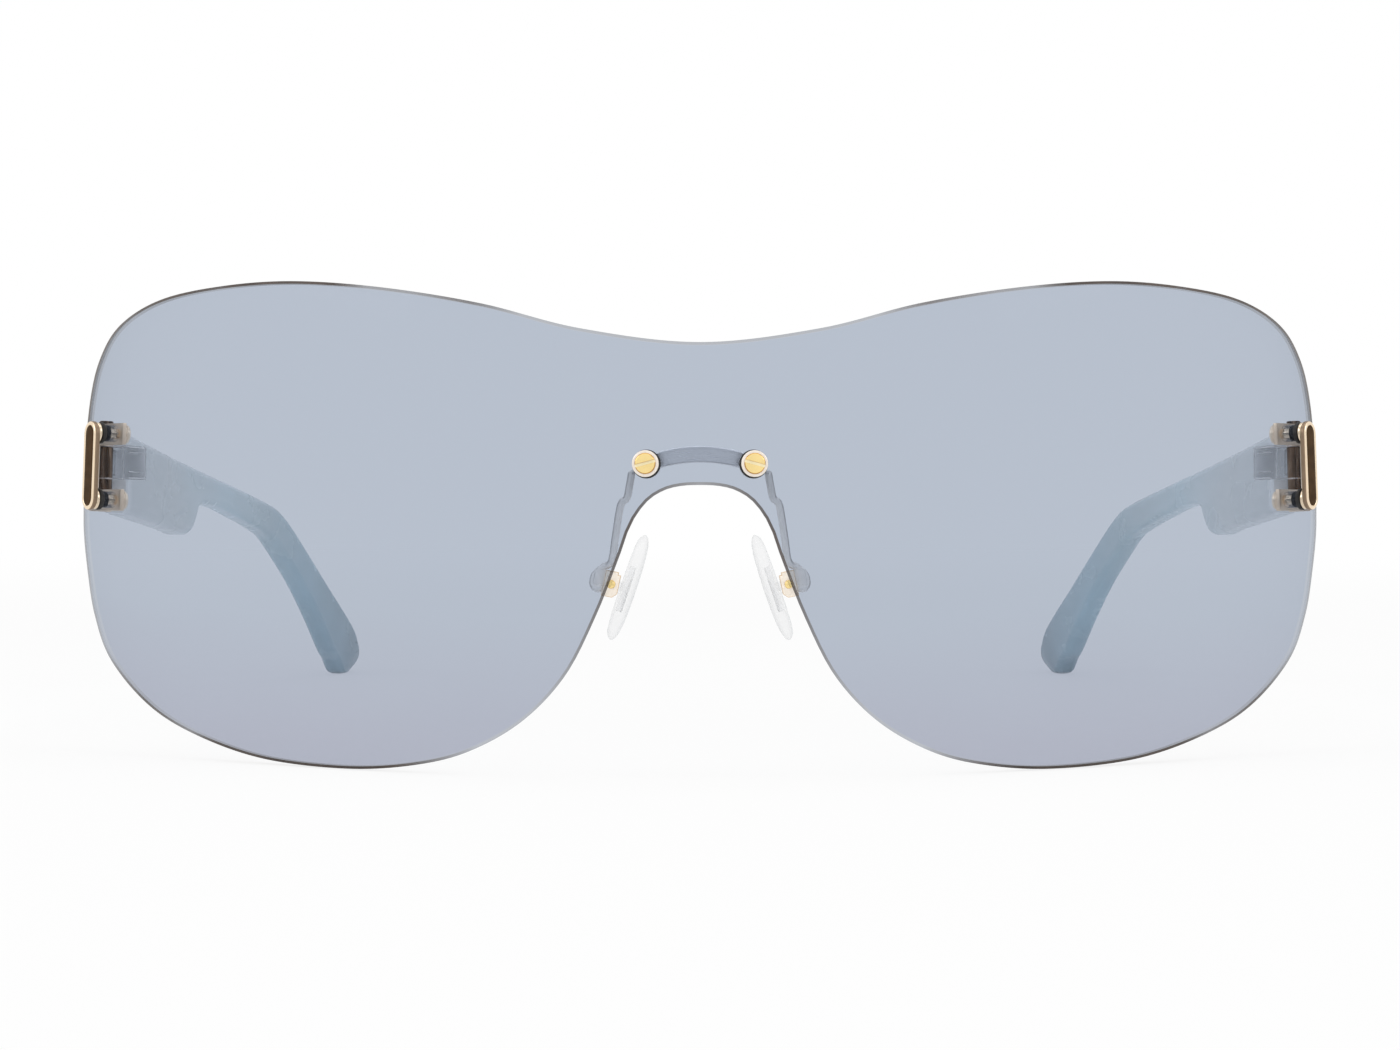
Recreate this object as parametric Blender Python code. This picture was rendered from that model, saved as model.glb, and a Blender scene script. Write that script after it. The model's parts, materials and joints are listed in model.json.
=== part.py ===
"""Rimless shield sunglasses: one wide curved lens, a metal bridge bar with two
rocking nose pads, and two folding acetate temples on screw hinges.

The pieces are laid out in the lens's own frame: the origin is the foremost point
of the lens, the front looks along -Y, +Z is up and +X is the wearer's left. An
empty then leans that frame back until the lens and both temple tips stand on z = 0.
Every paired piece is modelled for the wearer's left and mirrored for the right.
All lengths are in metres and all angles in radians.
"""

import math

import bmesh
import bpy
from mathutils import Matrix, Vector

# Shield lens: a toric shell, cut to its outline and drilled for six posts
LENS_HALF_WIDTH = 0.0750
LENS_HALF_HEIGHT = 0.0280
LENS_CURVE_SHARE = 1.1773
LENS_CROWN_RADIUS = 0.175
LENS_THICKNESS = 0.0017
LENS_BLANK_MARGIN = 0.0030
LENS_ARC_STEPS = 40
LENS_CROWN_STEPS = 8
LENS_OUTLINE_STEPS = 2

# The lens outline from the middle of its top edge, round the wearer's left side,
# to the middle of the nose arch, as shares of the half width and half height
LENS_OUTLINE_SHARES = (
    (0.000, 0.728),
    (0.178, 0.785),
    (0.329, 0.891),
    (0.485, 0.966),
    (0.627, 1.004),
    (0.748, 0.997),
    (0.855, 0.956),
    (0.930, 0.863),
    (0.969, 0.729),
    (0.989, 0.543),
    (0.999, 0.239),
    (1.000, 0.000),
    (0.992, -0.195),
    (0.978, -0.389),
    (0.947, -0.578),
    (0.876, -0.763),
    (0.790, -0.880),
    (0.673, -0.967),
    (0.532, -0.994),
    (0.422, -0.967),
    (0.341, -0.904),
    (0.263, -0.780),
    (0.200, -0.598),
    (0.154, -0.357),
    (0.119, -0.119),
    (0.103, 0.000),
    (0.080, 0.090),
    (0.055, 0.136),
    (0.029, 0.155),
    (0.000, 0.159),
)

# Gaps between pieces
SEAT_GAP = 0.00005
LENS_GAP = 0.0001
LENS_BACK_GAP = 0.00022
RUNNING_GAP = 0.0001
CUT_OVERRUN = 0.0010
ROUND_SIDES = 18
FINE_BEVEL_STEPS = 2
BEVEL_ANGLE = math.radians(50.0)
SMOOTH_ANGLE = math.radians(30.0)
LEAN_PASSES = 8

# End piece: an oblong bezel outside the lens, held by two posts through it
BEZEL_INSET = 0.0029
BEZEL_LEVEL = 0.0071
BEZEL_WIDTH = 0.0031
BEZEL_HEIGHT = 0.0107
BEZEL_DEPTH = 0.00070
BEZEL_WALL = 0.00050
BEZEL_RECESS = 0.00032
BEZEL_EDGE = 0.00022
BEZEL_END_STEPS = 10
INLAY_THICKNESS = 0.00022
POST_SPACING = 0.0080
POST_RADIUS = 0.00060
COLLAR_RADIUS = 0.00122
COLLAR_THICKNESS = 0.00045
GASKET_RADIUS = 0.00130
GASKET_THICKNESS = 0.00050
SLEEVE_WALL = 0.00030

# Hinge fork: two ears behind the lens, joined by a thin spine along its back
EAR_HEIGHT = 0.0026
EAR_THICKNESS = 0.00055
EAR_END = 0.00130
EAR_NECK = 0.00110
SPINE_THICKNESS = 0.00055
SPINE_WIDTH = 0.0016
FORK_ARC_STEPS = 6
HINGE_REACH = 0.0068
KNUCKLE_RADIUS = 0.00095
HINGE_PIN_RADIUS = 0.00055
HINGE_HEAD_RADIUS = 0.00085
HINGE_HEAD_HEIGHT = 0.00045
SLOT_WIDTH = 0.00030
SLOT_DEPTH = 0.00025
NUT_RADIUS = 0.00115
NUT_THICKNESS = 0.00065
NUT_ROOF = 0.00025
NUT_EDGE = 0.00018

# Temple: a tall plate at the hinge, stepped down to a slim arm that drops at the ear
TEMPLE_TOE_IN = math.radians(6.0)
TEMPLE_LENGTH = 0.1250
TEMPLE_HEIGHT = 0.0098
TEMPLE_THICKNESS = 0.0037
TEMPLE_ARM_THICKNESS = 0.0030
TEMPLE_OUTER_FACE = 0.00115
TEMPLE_FRONT_GAP = 0.00045
TEMPLE_LEVEL = -0.0007
TEMPLE_TIP_TURN = 0.128
TEMPLE_TURN_START = 0.0730
TEMPLE_TURN_LENGTH = 0.0250
TEMPLE_EDGE_RADIUS = 0.0011
TEMPLE_CORNER_STEPS = 3
TEMPLE_RUNG_STEPS = 2

# Rungs across the temple from its top edge to its bottom edge: the first two
# values place the top end and the next two the bottom end, back from the hinge
# axis as a share of the length and up from the temple's level as a share of the height
TEMPLE_RUNG_SHARES = (
    (0.112, 0.395, 0.104, -0.583),
    (0.196, 0.281, 0.196, -0.677),
    (0.238, 0.228, 0.240, -0.733),
    (0.266, 0.192, 0.267, -0.768),
    (0.284, 0.168, 0.285, -0.733),
    (0.300, 0.148, 0.301, -0.605),
    (0.316, 0.129, 0.314, -0.460),
    (0.336, 0.104, 0.333, -0.383),
    (0.368, 0.064, 0.364, -0.364),
    (0.432, -0.013, 0.428, -0.403),
    (0.520, -0.119, 0.516, -0.529),
    (0.592, -0.208, 0.580, -0.626),
    (0.664, -0.319, 0.636, -0.726),
    (0.712, -0.447, 0.676, -0.835),
    (0.760, -0.697, 0.720, -1.069),
    (0.824, -1.131, 0.784, -1.498),
    (0.892, -1.605, 0.850, -2.080),
    (0.952, -2.013, 0.900, -2.585),
    (0.986, -2.289, 0.917, -2.712),
    (1.003, -2.534, 0.934, -2.809),
)
TIP_ROUNDING_SHARES = ((0.20, 0.94), (0.38, 0.76), (0.48, 0.46))

# Hinge block and tongue, let into a pocket in the front of the temple
BLOCK_LENGTH = 0.0088
BLOCK_HEIGHT = 0.0040
BLOCK_LEVEL = 0.00075
POCKET_WALL = 0.0007
POCKET_GAP = 0.0001
TONGUE_THICKNESS = 0.00080
TONGUE_HEIGHT = 0.0030
TONGUE_LENGTH = 0.0016

# Bridge bar behind the lens, with a screw, washer, sleeve and cap nut at each end
BRIDGE_SCREW_REACH = 0.00605
BRIDGE_SCREW_LEVEL = 0.0068
BAR_HEIGHT = 0.00185
BAR_THICKNESS = 0.0011
BAR_RISE = 0.0011
BAR_STEPS = 12
BAR_EYE_RADIUS = 0.00150
WASHER_RADIUS = 0.00150
WASHER_THICKNESS = 0.00040
BRIDGE_HEAD_RADIUS = 0.00112
BRIDGE_HEAD_HEIGHT = 0.00050
BRIDGE_SHANK_RADIUS = 0.00060
BRIDGE_SLOT_WIDTH = 0.00034
BRIDGE_SLOT_DEPTH = 0.00028
BRIDGE_SLOT_TURN = math.radians(15.0)
BRIDGE_SLEEVE_WALL = 0.00030
BRIDGE_NUT_RADIUS = 0.00130
BRIDGE_NUT_HEIGHT = 0.00110
BRIDGE_NUT_ROOF = 0.00040

# Pad arms: round wire from the bar's eyes, back and down to the pad boxes
ARM_RADIUS = 0.00042
ARM_SIDES_STEPS = 2
ARM_CURVE_STEPS = 3
PAD_ARM_SPAN = 0.0125
# Points of the left arm as shares of its span: across, back and down from the bar's eye
ARM_ROUTE_SHARES = (
    (0.142, 0.000, -0.080),
    (0.162, 0.038, -0.190),
    (0.186, 0.094, -0.295),
    (0.242, 0.142, -0.360),
    (0.292, 0.302, -0.639),
    (0.330, 0.430, -0.862),
    (0.404, 0.502, -0.915),
    (0.480, 0.522, -0.983),
    (0.500, 0.518, -1.063),
    (0.472, 0.494, -1.111),
    (0.432, 0.486, -1.107),
)

# Pad box, its screw and the pad that rocks on it
PAD_BOX_REACH = 0.01005
PAD_BOX_DEPTH = 0.00930
PAD_BOX_LEVEL = -0.0067
PAD_BOX_WIDTH = 0.00176
PAD_BOX_HEIGHT = 0.00295
PAD_BOX_LENGTH = 0.0024
PAD_BOX_SLOT = 0.0013
PAD_BOX_FLOOR = 0.00026
PAD_BOX_CHAMFER = 0.00060
PAD_BOX_NOTCH = 0.00030
PAD_BOX_LEAN = math.radians(12.0)
PAD_SCREW_RADIUS = 0.00028
PAD_SCREW_HEAD_RADIUS = 0.00049
PAD_SCREW_HEAD = 0.00025
PAD_SCREW_SLOT = 0.00016
PAD_LUG_RADIUS = 0.00052
PAD_LUG_SIDE_GAP = 0.00010
PAD_HEIGHT = 0.0126
PAD_LENGTH = 0.0070
PAD_THICKNESS = 0.0016
PAD_LEAN = math.radians(18.7)
PAD_SPLAY = math.radians(4.0)
PAD_SEAT = 0.00210
PAD_DROP = -0.00020
PAD_SETBACK = 0.0018
PAD_OUTLINE_STEPS = 28
PAD_POINT_SHARE = 0.16
PAD_CORE_LENGTH = 0.0030
PAD_CORE_HEIGHT = 0.0052
PAD_CORE_THICKNESS = 0.00070
# Layers of the pad from its flat back to its domed face: height and outline shares
PAD_LAYER_SHARES = (
    (-0.50, 0.80),
    (-0.36, 0.93),
    (-0.10, 1.00),
    (0.18, 0.96),
    (0.38, 0.82),
    (0.50, 0.52),
)

# Finishes: base colour, roughness, metallic and how far light passes through
FINISHES = {
    "smoke_lens": ((0.42, 0.47, 0.56), 0.03, 0.0, 0.9),
    "pale_gold": ((0.90, 0.72, 0.50), 0.22, 1.0, 0.0),
    "yellow_gold": ((0.95, 0.70, 0.30), 0.20, 1.0, 0.0),
    "satin_steel": ((0.70, 0.70, 0.68), 0.30, 1.0, 0.0),
    "dark_bronze": ((0.09, 0.05, 0.03), 0.28, 1.0, 0.0),
    "brown_inlay": ((0.075, 0.042, 0.020), 0.25, 0.0, 0.0),
    "black_rubber": ((0.015, 0.014, 0.013), 0.60, 0.0, 0.0),
    "pale_washer": ((0.86, 0.74, 0.60), 0.35, 0.0, 0.0),
    "clear_plastic": ((0.88, 0.90, 0.93), 0.08, 0.0, 0.9),
    "clear_silicone": ((0.92, 0.93, 0.94), 0.15, 0.0, 0.9),
    "grey_acetate": ((0.60, 0.68, 0.70), 0.22, 0.0, 0.3),
}

SIDES = (("left", 1), ("right", -1))

# The wider the lens, the flatter its curve round the face
LENS_RADIUS = LENS_HALF_WIDTH * LENS_CURVE_SHARE


def clear_scene():
    """Removes every object, so that the model starts from an empty scene."""
    for item in list(bpy.data.objects):
        bpy.data.objects.remove(item, do_unlink=True)


def finish_material(name):
    """The material of a finish, made once and shared by every piece that has it."""
    material = bpy.data.materials.get(name)
    if material is None:
        colour, roughness, metallic, transmission = FINISHES[name]
        material = bpy.data.materials.new(name)
        material.use_nodes = True
        shader = material.node_tree.nodes["Principled BSDF"]
        shader.inputs["Base Color"].default_value = (*colour, 1.0)
        shader.inputs["Roughness"].default_value = roughness
        shader.inputs["Metallic"].default_value = metallic
        shader.inputs["Transmission Weight"].default_value = transmission
        material.diffuse_color = (*colour, 1.0)
    return material


def make_piece(name, bm, origin, side, finish, stand):
    """An object from a mesh laid out for the wearer's left, mirrored for the right."""
    bmesh.ops.translate(bm, verts=bm.verts, vec=-origin)
    if side < 0:
        bmesh.ops.scale(bm, verts=bm.verts, vec=(-1, 1, 1))
    bmesh.ops.recalc_face_normals(bm, faces=bm.faces)
    mesh = bpy.data.meshes.new(name)
    bm.to_mesh(mesh)
    bm.free()
    mesh.shade_smooth()
    mesh.set_sharp_from_angle(angle=SMOOTH_ANGLE)
    mesh.materials.append(finish_material(finish))
    piece = bpy.data.objects.new(name, mesh)
    piece.location = (origin.x * side, origin.y, origin.z)
    piece.parent = stand
    bpy.context.collection.objects.link(piece)
    return piece


def add_boolean(piece, tool, operation):
    """Cuts, joins or trims a piece by a hidden tool object."""
    tool.hide_render = True
    tool.display_type = "WIRE"
    tool.hide_set(True)
    change = piece.modifiers.new(tool.name, "BOOLEAN")
    change.operation = operation
    change.solver = "EXACT"
    change.object = tool


def add_bevel(piece, width):
    """Rounds the sharp edges of a piece."""
    bevel = piece.modifiers.new("edge", "BEVEL")
    bevel.width = width
    bevel.segments = FINE_BEVEL_STEPS
    bevel.limit_method = "ANGLE"
    bevel.angle_limit = BEVEL_ANGLE


def skin(bm, rings):
    """A closed solid through rings of points, with a flat face over each end."""
    loops = [[bm.verts.new(point) for point in ring] for ring in rings]
    count = len(loops[0])
    for lower, upper in zip(loops, loops[1:]):
        for i in range(count):
            j = (i + 1) % count
            bm.faces.new((lower[i], lower[j], upper[j], upper[i]))
    bm.faces.new(reversed(loops[0]))
    bm.faces.new(loops[-1])


def circle_ring(frame, radius, centre, height):
    """Points round a circle that lies square to a frame's third axis."""
    ring = []
    for i in range(ROUND_SIDES):
        turn = math.tau * i / ROUND_SIDES
        across = centre[0] + radius * math.cos(turn)
        up = centre[1] + radius * math.sin(turn)
        ring.append(frame @ Vector((across, up, height)))
    return ring


def add_rod(bm, frame, radius, start, end, centre=(0, 0), edge=0):
    """A round bar along a frame's third axis, with its end rounded over by edge."""
    rings = [circle_ring(frame, radius, centre, start)]
    if edge:
        toward = math.copysign(edge, end - start)
        rings.append(circle_ring(frame, radius, centre, end - toward))
        rings.append(circle_ring(frame, radius - edge, centre, end))
    else:
        rings.append(circle_ring(frame, radius, centre, end))
    skin(bm, rings)


def add_prism(bm, frame, outline, start, end):
    """An outline in a frame's first two axes, extruded along the third."""
    skin(bm, [[frame @ Vector((a, b, h)) for a, b in outline] for h in (start, end)])


def box_outline(left, right, low, high):
    """The four corners of a rectangle."""
    return [(left, low), (right, low), (right, high), (left, high)]


def stadium_outline(width, height):
    """An upright oblong with round ends."""
    radius = width / 2
    straight = height / 2 - radius
    points = []
    for level, first in ((straight, 0), (-straight, math.pi)):
        for i in range(BEZEL_END_STEPS + 1):
            turn = first + math.pi * i / BEZEL_END_STEPS
            points.append((radius * math.cos(turn), level + radius * math.sin(turn)))
    return points


def smooth_path(points, steps):
    """Points on a smooth curve through the given ones, its two ends included."""
    ends = [points[0] * 2 - points[1]] + points + [points[-1] * 2 - points[-2]]
    path = []
    for before, start, end, after in zip(ends, ends[1:], ends[2:], ends[3:]):
        leave = (end - before) / 2
        arrive = (after - start) / 2
        for i in range(steps):
            t = i / steps
            path.append(
                start * (2 * t**3 - 3 * t**2 + 1)
                + leave * (t**3 - 2 * t**2 + t)
                + end * (3 * t**2 - 2 * t**3)
                + arrive * (t**3 - t**2)
            )
    return path + [points[-1]]


def lens_ring_radius(height, depth=0):
    """Distance of the lens, at a depth under its outer face, from its vertical axis."""
    crown = LENS_CROWN_RADIUS - depth
    return LENS_RADIUS - LENS_CROWN_RADIUS + math.sqrt(crown**2 - height**2)


def lens_frame(reach, level):
    """The lens's outer face at a place on it: axes to the side, up and straight out."""
    radius = lens_ring_radius(level)
    turn = math.asin(reach / radius)
    crown = math.asin(level / LENS_CROWN_RADIUS)
    out = Vector(
        (
            math.sin(turn) * math.cos(crown),
            -math.cos(turn) * math.cos(crown),
            math.sin(crown),
        )
    )
    up = Vector(
        (
            -math.sin(turn) * math.sin(crown),
            math.cos(turn) * math.sin(crown),
            math.cos(crown),
        )
    )
    side = up.cross(out)
    place = Vector((reach, LENS_RADIUS - radius * math.cos(turn), level))
    return Matrix.Translation(place) @ Matrix((side, up, out)).transposed().to_4x4()


def back_of_lens(across):
    """Height of the lens's back, less its gap, in a lens frame, at a distance across."""
    radius = LENS_RADIUS - LENS_THICKNESS - LENS_BACK_GAP
    return math.sqrt(radius**2 - across**2) - LENS_RADIUS


END_FRAME = lens_frame(LENS_HALF_WIDTH - BEZEL_INSET, BEZEL_LEVEL)
BRIDGE_FRAME = lens_frame(BRIDGE_SCREW_REACH, BRIDGE_SCREW_LEVEL)
POST_LEVELS = (("upper", POST_SPACING / 2), ("lower", -POST_SPACING / 2))

# Heights of the end piece's layers over the lens's outer face
GASKET_BOTTOM = LENS_GAP
GASKET_TOP = GASKET_BOTTOM + GASKET_THICKNESS
COLLAR_BOTTOM = GASKET_TOP + SEAT_GAP
COLLAR_TOP = COLLAR_BOTTOM + COLLAR_THICKNESS
BEZEL_BACK = COLLAR_TOP + SEAT_GAP
BEZEL_FRONT = BEZEL_BACK + BEZEL_DEPTH
INLAY_BACK = BEZEL_FRONT - BEZEL_RECESS + SEAT_GAP
SLEEVE_RADIUS = POST_RADIUS + SEAT_GAP + SLEEVE_WALL
EAR_FACE = -LENS_THICKNESS - LENS_BACK_GAP - EAR_THICKNESS
NUT_FACE = EAR_FACE - SEAT_GAP
NUT_END = NUT_FACE - NUT_THICKNESS
POST_END = NUT_END + NUT_ROOF + SEAT_GAP

# The hinge axis runs along the end frame's second axis, behind the fork's spine
HINGE_DROP = back_of_lens(HINGE_REACH) - SPINE_THICKNESS - RUNNING_GAP - KNUCKLE_RADIUS
HINGE_FRAME = END_FRAME @ Matrix.Translation((HINGE_REACH, 0, HINGE_DROP))
HINGE_POINT = HINGE_FRAME.translation
EAR_TOP = (POST_SPACING + EAR_HEIGHT) / 2
EAR_GAP = (POST_SPACING - EAR_HEIGHT) / 2
# The hinge frame turned so that its third axis is the hinge axis
PIN_FRAME = HINGE_FRAME @ Matrix.Rotation(-math.pi / 2, 4, "X")

# The temple's frame: to the side, back along the temple, and up
TEMPLE_FRAME = Matrix.Translation(HINGE_POINT) @ Matrix.Rotation(TEMPLE_TOE_IN, 4, "Z")
TEMPLE_FRONT = KNUCKLE_RADIUS + TEMPLE_FRONT_GAP
TEMPLE_INNER_FACE = TEMPLE_OUTER_FACE - TEMPLE_THICKNESS

# The bridge hardware's layers over and under the lens's outer face
WASHER_TOP = LENS_GAP + WASHER_THICKNESS
BRIDGE_HEAD_BOTTOM = WASHER_TOP + SEAT_GAP
BAR_FRONT = -LENS_THICKNESS - LENS_BACK_GAP
BAR_BACK = BAR_FRONT - BAR_THICKNESS
BRIDGE_NUT_FRONT = BAR_BACK - SEAT_GAP
BRIDGE_NUT_END = BRIDGE_NUT_FRONT - BRIDGE_NUT_HEIGHT
BRIDGE_SHANK_END = BRIDGE_NUT_END + BRIDGE_NUT_ROOF + SEAT_GAP
BRIDGE_SLEEVE_RADIUS = BRIDGE_SHANK_RADIUS + SEAT_GAP + BRIDGE_SLEEVE_WALL
BORE_ROUND_SHANK = BRIDGE_SHANK_RADIUS + SEAT_GAP

PAD_AXIS_POINT = Vector((PAD_BOX_REACH, PAD_BOX_DEPTH, PAD_BOX_LEVEL))


def lens_outline():
    """The whole lens outline, clockwise from the middle of the top edge."""
    half = [
        Vector((across * LENS_HALF_WIDTH, up * LENS_HALF_HEIGHT))
        for across, up in LENS_OUTLINE_SHARES
    ]
    whole = half + [Vector((-point.x, point.y)) for point in reversed(half[1:-1])]
    count = len(whole)
    path = []
    for i in range(count):
        near = [whole[(i + k) % count] for k in (-1, 0, 1, 2)]
        path += smooth_path(near, LENS_OUTLINE_STEPS)[LENS_OUTLINE_STEPS:][:LENS_OUTLINE_STEPS]
    return path


def make_lens(stand):
    """The shield lens: a toric blank trimmed by its outline and drilled."""
    top = LENS_HALF_HEIGHT + LENS_BLANK_MARGIN
    edge_turn = math.asin((LENS_HALF_WIDTH + LENS_BLANK_MARGIN) / LENS_RADIUS)
    heights = [
        top * (2 * i / LENS_CROWN_STEPS - 1) for i in range(LENS_CROWN_STEPS + 1)
    ]
    profile = [(lens_ring_radius(h), h) for h in heights]
    profile += [(lens_ring_radius(h, LENS_THICKNESS), h) for h in reversed(heights)]
    rings = []
    for i in range(LENS_ARC_STEPS + 1):
        turn = edge_turn * (2 * i / LENS_ARC_STEPS - 1)
        rings.append(
            [
                Vector((r * math.sin(turn), LENS_RADIUS - r * math.cos(turn), h))
                for r, h in profile
            ]
        )
    bm = bmesh.new()
    skin(bm, rings)
    lens = make_piece("lens", bm, Vector((0, 0, 0)), 1, "smoke_lens", stand)

    back = LENS_RADIUS
    bm = bmesh.new()
    outline = lens_outline()
    skin(bm, [[Vector((p.x, y, p.y)) for p in outline] for y in (-CUT_OVERRUN, back)])
    trim = make_piece("lens_trim", bm, Vector((0, 0, 0)), 1, "smoke_lens", stand)
    add_boolean(lens, trim, "INTERSECT")

    for side_name, side in SIDES:
        bm = bmesh.new()
        bottom = -LENS_THICKNESS - CUT_OVERRUN
        for _, level in POST_LEVELS:
            radius = SLEEVE_RADIUS + SEAT_GAP
            add_rod(bm, END_FRAME, radius, bottom, CUT_OVERRUN, (0, level))
        radius = BRIDGE_SLEEVE_RADIUS + SEAT_GAP
        add_rod(bm, BRIDGE_FRAME, radius, bottom, CUT_OVERRUN)
        drill = make_piece(
            f"lens_drill_{side_name}", bm, Vector((0, 0, 0)), side, "smoke_lens", stand
        )
        add_boolean(lens, drill, "DIFFERENCE")
    return lens


def make_bezel(side_name, side, stand):
    """The oblong bezel with its recess and its two posts, and the inlay in it."""
    place = END_FRAME.translation
    bm = bmesh.new()
    add_prism(bm, END_FRAME, stadium_outline(BEZEL_WIDTH, BEZEL_HEIGHT), BEZEL_BACK, BEZEL_FRONT)
    bezel = make_piece(f"bezel_{side_name}", bm, place, side, "pale_gold", stand)
    add_bevel(bezel, BEZEL_EDGE)

    recess_width = BEZEL_WIDTH - 2 * BEZEL_WALL
    recess_height = BEZEL_HEIGHT - 2 * BEZEL_WALL
    bm = bmesh.new()
    outline = stadium_outline(recess_width, recess_height)
    add_prism(bm, END_FRAME, outline, BEZEL_FRONT - BEZEL_RECESS, BEZEL_FRONT + CUT_OVERRUN)
    recess = make_piece(f"bezel_recess_{side_name}", bm, place, side, "pale_gold", stand)
    add_boolean(bezel, recess, "DIFFERENCE")

    for post_name, level in POST_LEVELS:
        bm = bmesh.new()
        root = BEZEL_BACK + (BEZEL_DEPTH - BEZEL_RECESS) / 2
        add_rod(bm, END_FRAME, POST_RADIUS, root, POST_END, (0, level))
        post = make_piece(
            f"bezel_post_{post_name}_{side_name}", bm, place, side, "pale_gold", stand
        )
        add_boolean(bezel, post, "UNION")

    bm = bmesh.new()
    outline = stadium_outline(recess_width - 2 * SEAT_GAP, recess_height - 2 * SEAT_GAP)
    add_prism(bm, END_FRAME, outline, INLAY_BACK, INLAY_BACK + INLAY_THICKNESS)
    make_piece(f"bezel_inlay_{side_name}", bm, place, side, "brown_inlay", stand)


def add_tube(bm, frame, outer, inner, levels, centre=(0, 0)):
    """A ring with a bore: outer holds its outer radii, one for each level."""
    rings = [circle_ring(frame, inner, centre, levels[0])]
    rings += [circle_ring(frame, r, centre, h) for r, h in zip(outer, levels)]
    rings.append(circle_ring(frame, inner, centre, levels[-1]))
    loops = [[bm.verts.new(point) for point in ring] for ring in rings]
    loops.append(loops[0])
    for lower, upper in zip(loops, loops[1:]):
        for i in range(ROUND_SIDES):
            j = (i + 1) % ROUND_SIDES
            bm.faces.new((lower[i], lower[j], upper[j], upper[i]))


def make_post_rings(side_name, side, stand):
    """The rubber gasket with its sleeve, the collar and the cap nut of each post."""
    bore = POST_RADIUS + SEAT_GAP
    for post_name, level in POST_LEVELS:
        centre = (0, level)
        place = END_FRAME @ Vector((0, level, 0))
        bm = bmesh.new()
        add_tube(
            bm,
            END_FRAME,
            (SLEEVE_RADIUS, SLEEVE_RADIUS, GASKET_RADIUS, GASKET_RADIUS),
            bore,
            (-LENS_THICKNESS, GASKET_BOTTOM, GASKET_BOTTOM, GASKET_TOP),
            centre,
        )
        make_piece(f"gasket_{post_name}_{side_name}", bm, place, side, "black_rubber", stand)

        bm = bmesh.new()
        add_tube(
            bm,
            END_FRAME,
            (COLLAR_RADIUS, COLLAR_RADIUS),
            bore,
            (COLLAR_BOTTOM, COLLAR_TOP),
            centre,
        )
        make_piece(f"collar_{post_name}_{side_name}", bm, place, side, "pale_gold", stand)

        bm = bmesh.new()
        add_rod(bm, END_FRAME, NUT_RADIUS, NUT_FACE, NUT_END, centre, NUT_EDGE)
        nut = make_piece(f"post_nut_{post_name}_{side_name}", bm, place, side, "pale_gold", stand)
        bm = bmesh.new()
        add_rod(bm, END_FRAME, bore, NUT_FACE + CUT_OVERRUN, NUT_END + NUT_ROOF, centre)
        hole = make_piece(
            f"post_nut_hole_{post_name}_{side_name}", bm, place, side, "pale_gold", stand
        )
        add_boolean(nut, hole, "DIFFERENCE")


def fork_outline():
    """The fork seen along the hinge axis: an ear that hugs the lens and a knuckle."""
    start = -EAR_END
    end = HINGE_REACH + SPINE_WIDTH / 2
    points = []
    for i in range(FORK_ARC_STEPS + 1):
        across = start + (end - start) * i / FORK_ARC_STEPS
        points.append((across, back_of_lens(across)))
    for i in range(ROUND_SIDES // 2 + 1):
        turn = -math.pi * i / (ROUND_SIDES // 2)
        points.append(
            (
                HINGE_REACH + KNUCKLE_RADIUS * math.cos(turn),
                HINGE_DROP + KNUCKLE_RADIUS * math.sin(turn),
            )
        )
    points.append((HINGE_REACH - KNUCKLE_RADIUS - EAR_NECK, EAR_FACE))
    points.append((start, EAR_FACE))
    return points


def make_fork(side_name, side, stand):
    """The hinge fork: a knuckle above and below the temple's, on one spine."""
    place = END_FRAME.translation
    # Turned so that its third axis runs up along the hinge and its second outward
    frame = END_FRAME @ Matrix(((1, 0, 0, 0), (0, 0, 1, 0), (0, 1, 0, 0), (0, 0, 0, 1)))
    bm = bmesh.new()
    add_prism(bm, frame, fork_outline(), -EAR_TOP, EAR_TOP)
    fork = make_piece(f"hinge_fork_{side_name}", bm, place, side, "pale_gold", stand)

    far = HINGE_REACH + 2 * KNUCKLE_RADIUS
    spine_start = HINGE_REACH - SPINE_WIDTH / 2
    window = [(-EAR_END - CUT_OVERRUN, 0), (spine_start, 0)]
    for i in range(FORK_ARC_STEPS + 1):
        across = spine_start + (far - spine_start) * i / FORK_ARC_STEPS
        window.append((across, back_of_lens(across) - SPINE_THICKNESS))
    window.append((far, HINGE_DROP - 2 * KNUCKLE_RADIUS))
    window.append((-EAR_END - CUT_OVERRUN, HINGE_DROP - 2 * KNUCKLE_RADIUS))
    bm = bmesh.new()
    add_prism(bm, frame, window, -EAR_GAP, EAR_GAP)
    cut = make_piece(f"fork_window_{side_name}", bm, place, side, "pale_gold", stand)
    add_boolean(fork, cut, "DIFFERENCE")

    bm = bmesh.new()
    reach = EAR_TOP + CUT_OVERRUN
    add_rod(bm, PIN_FRAME, HINGE_PIN_RADIUS + SEAT_GAP, -reach, reach)
    for _, level in POST_LEVELS:
        add_rod(bm, END_FRAME, POST_RADIUS + SEAT_GAP, EAR_FACE - CUT_OVERRUN, 0, (0, level))
    holes = make_piece(f"fork_holes_{side_name}", bm, place, side, "pale_gold", stand)
    add_boolean(fork, holes, "DIFFERENCE")


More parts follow.
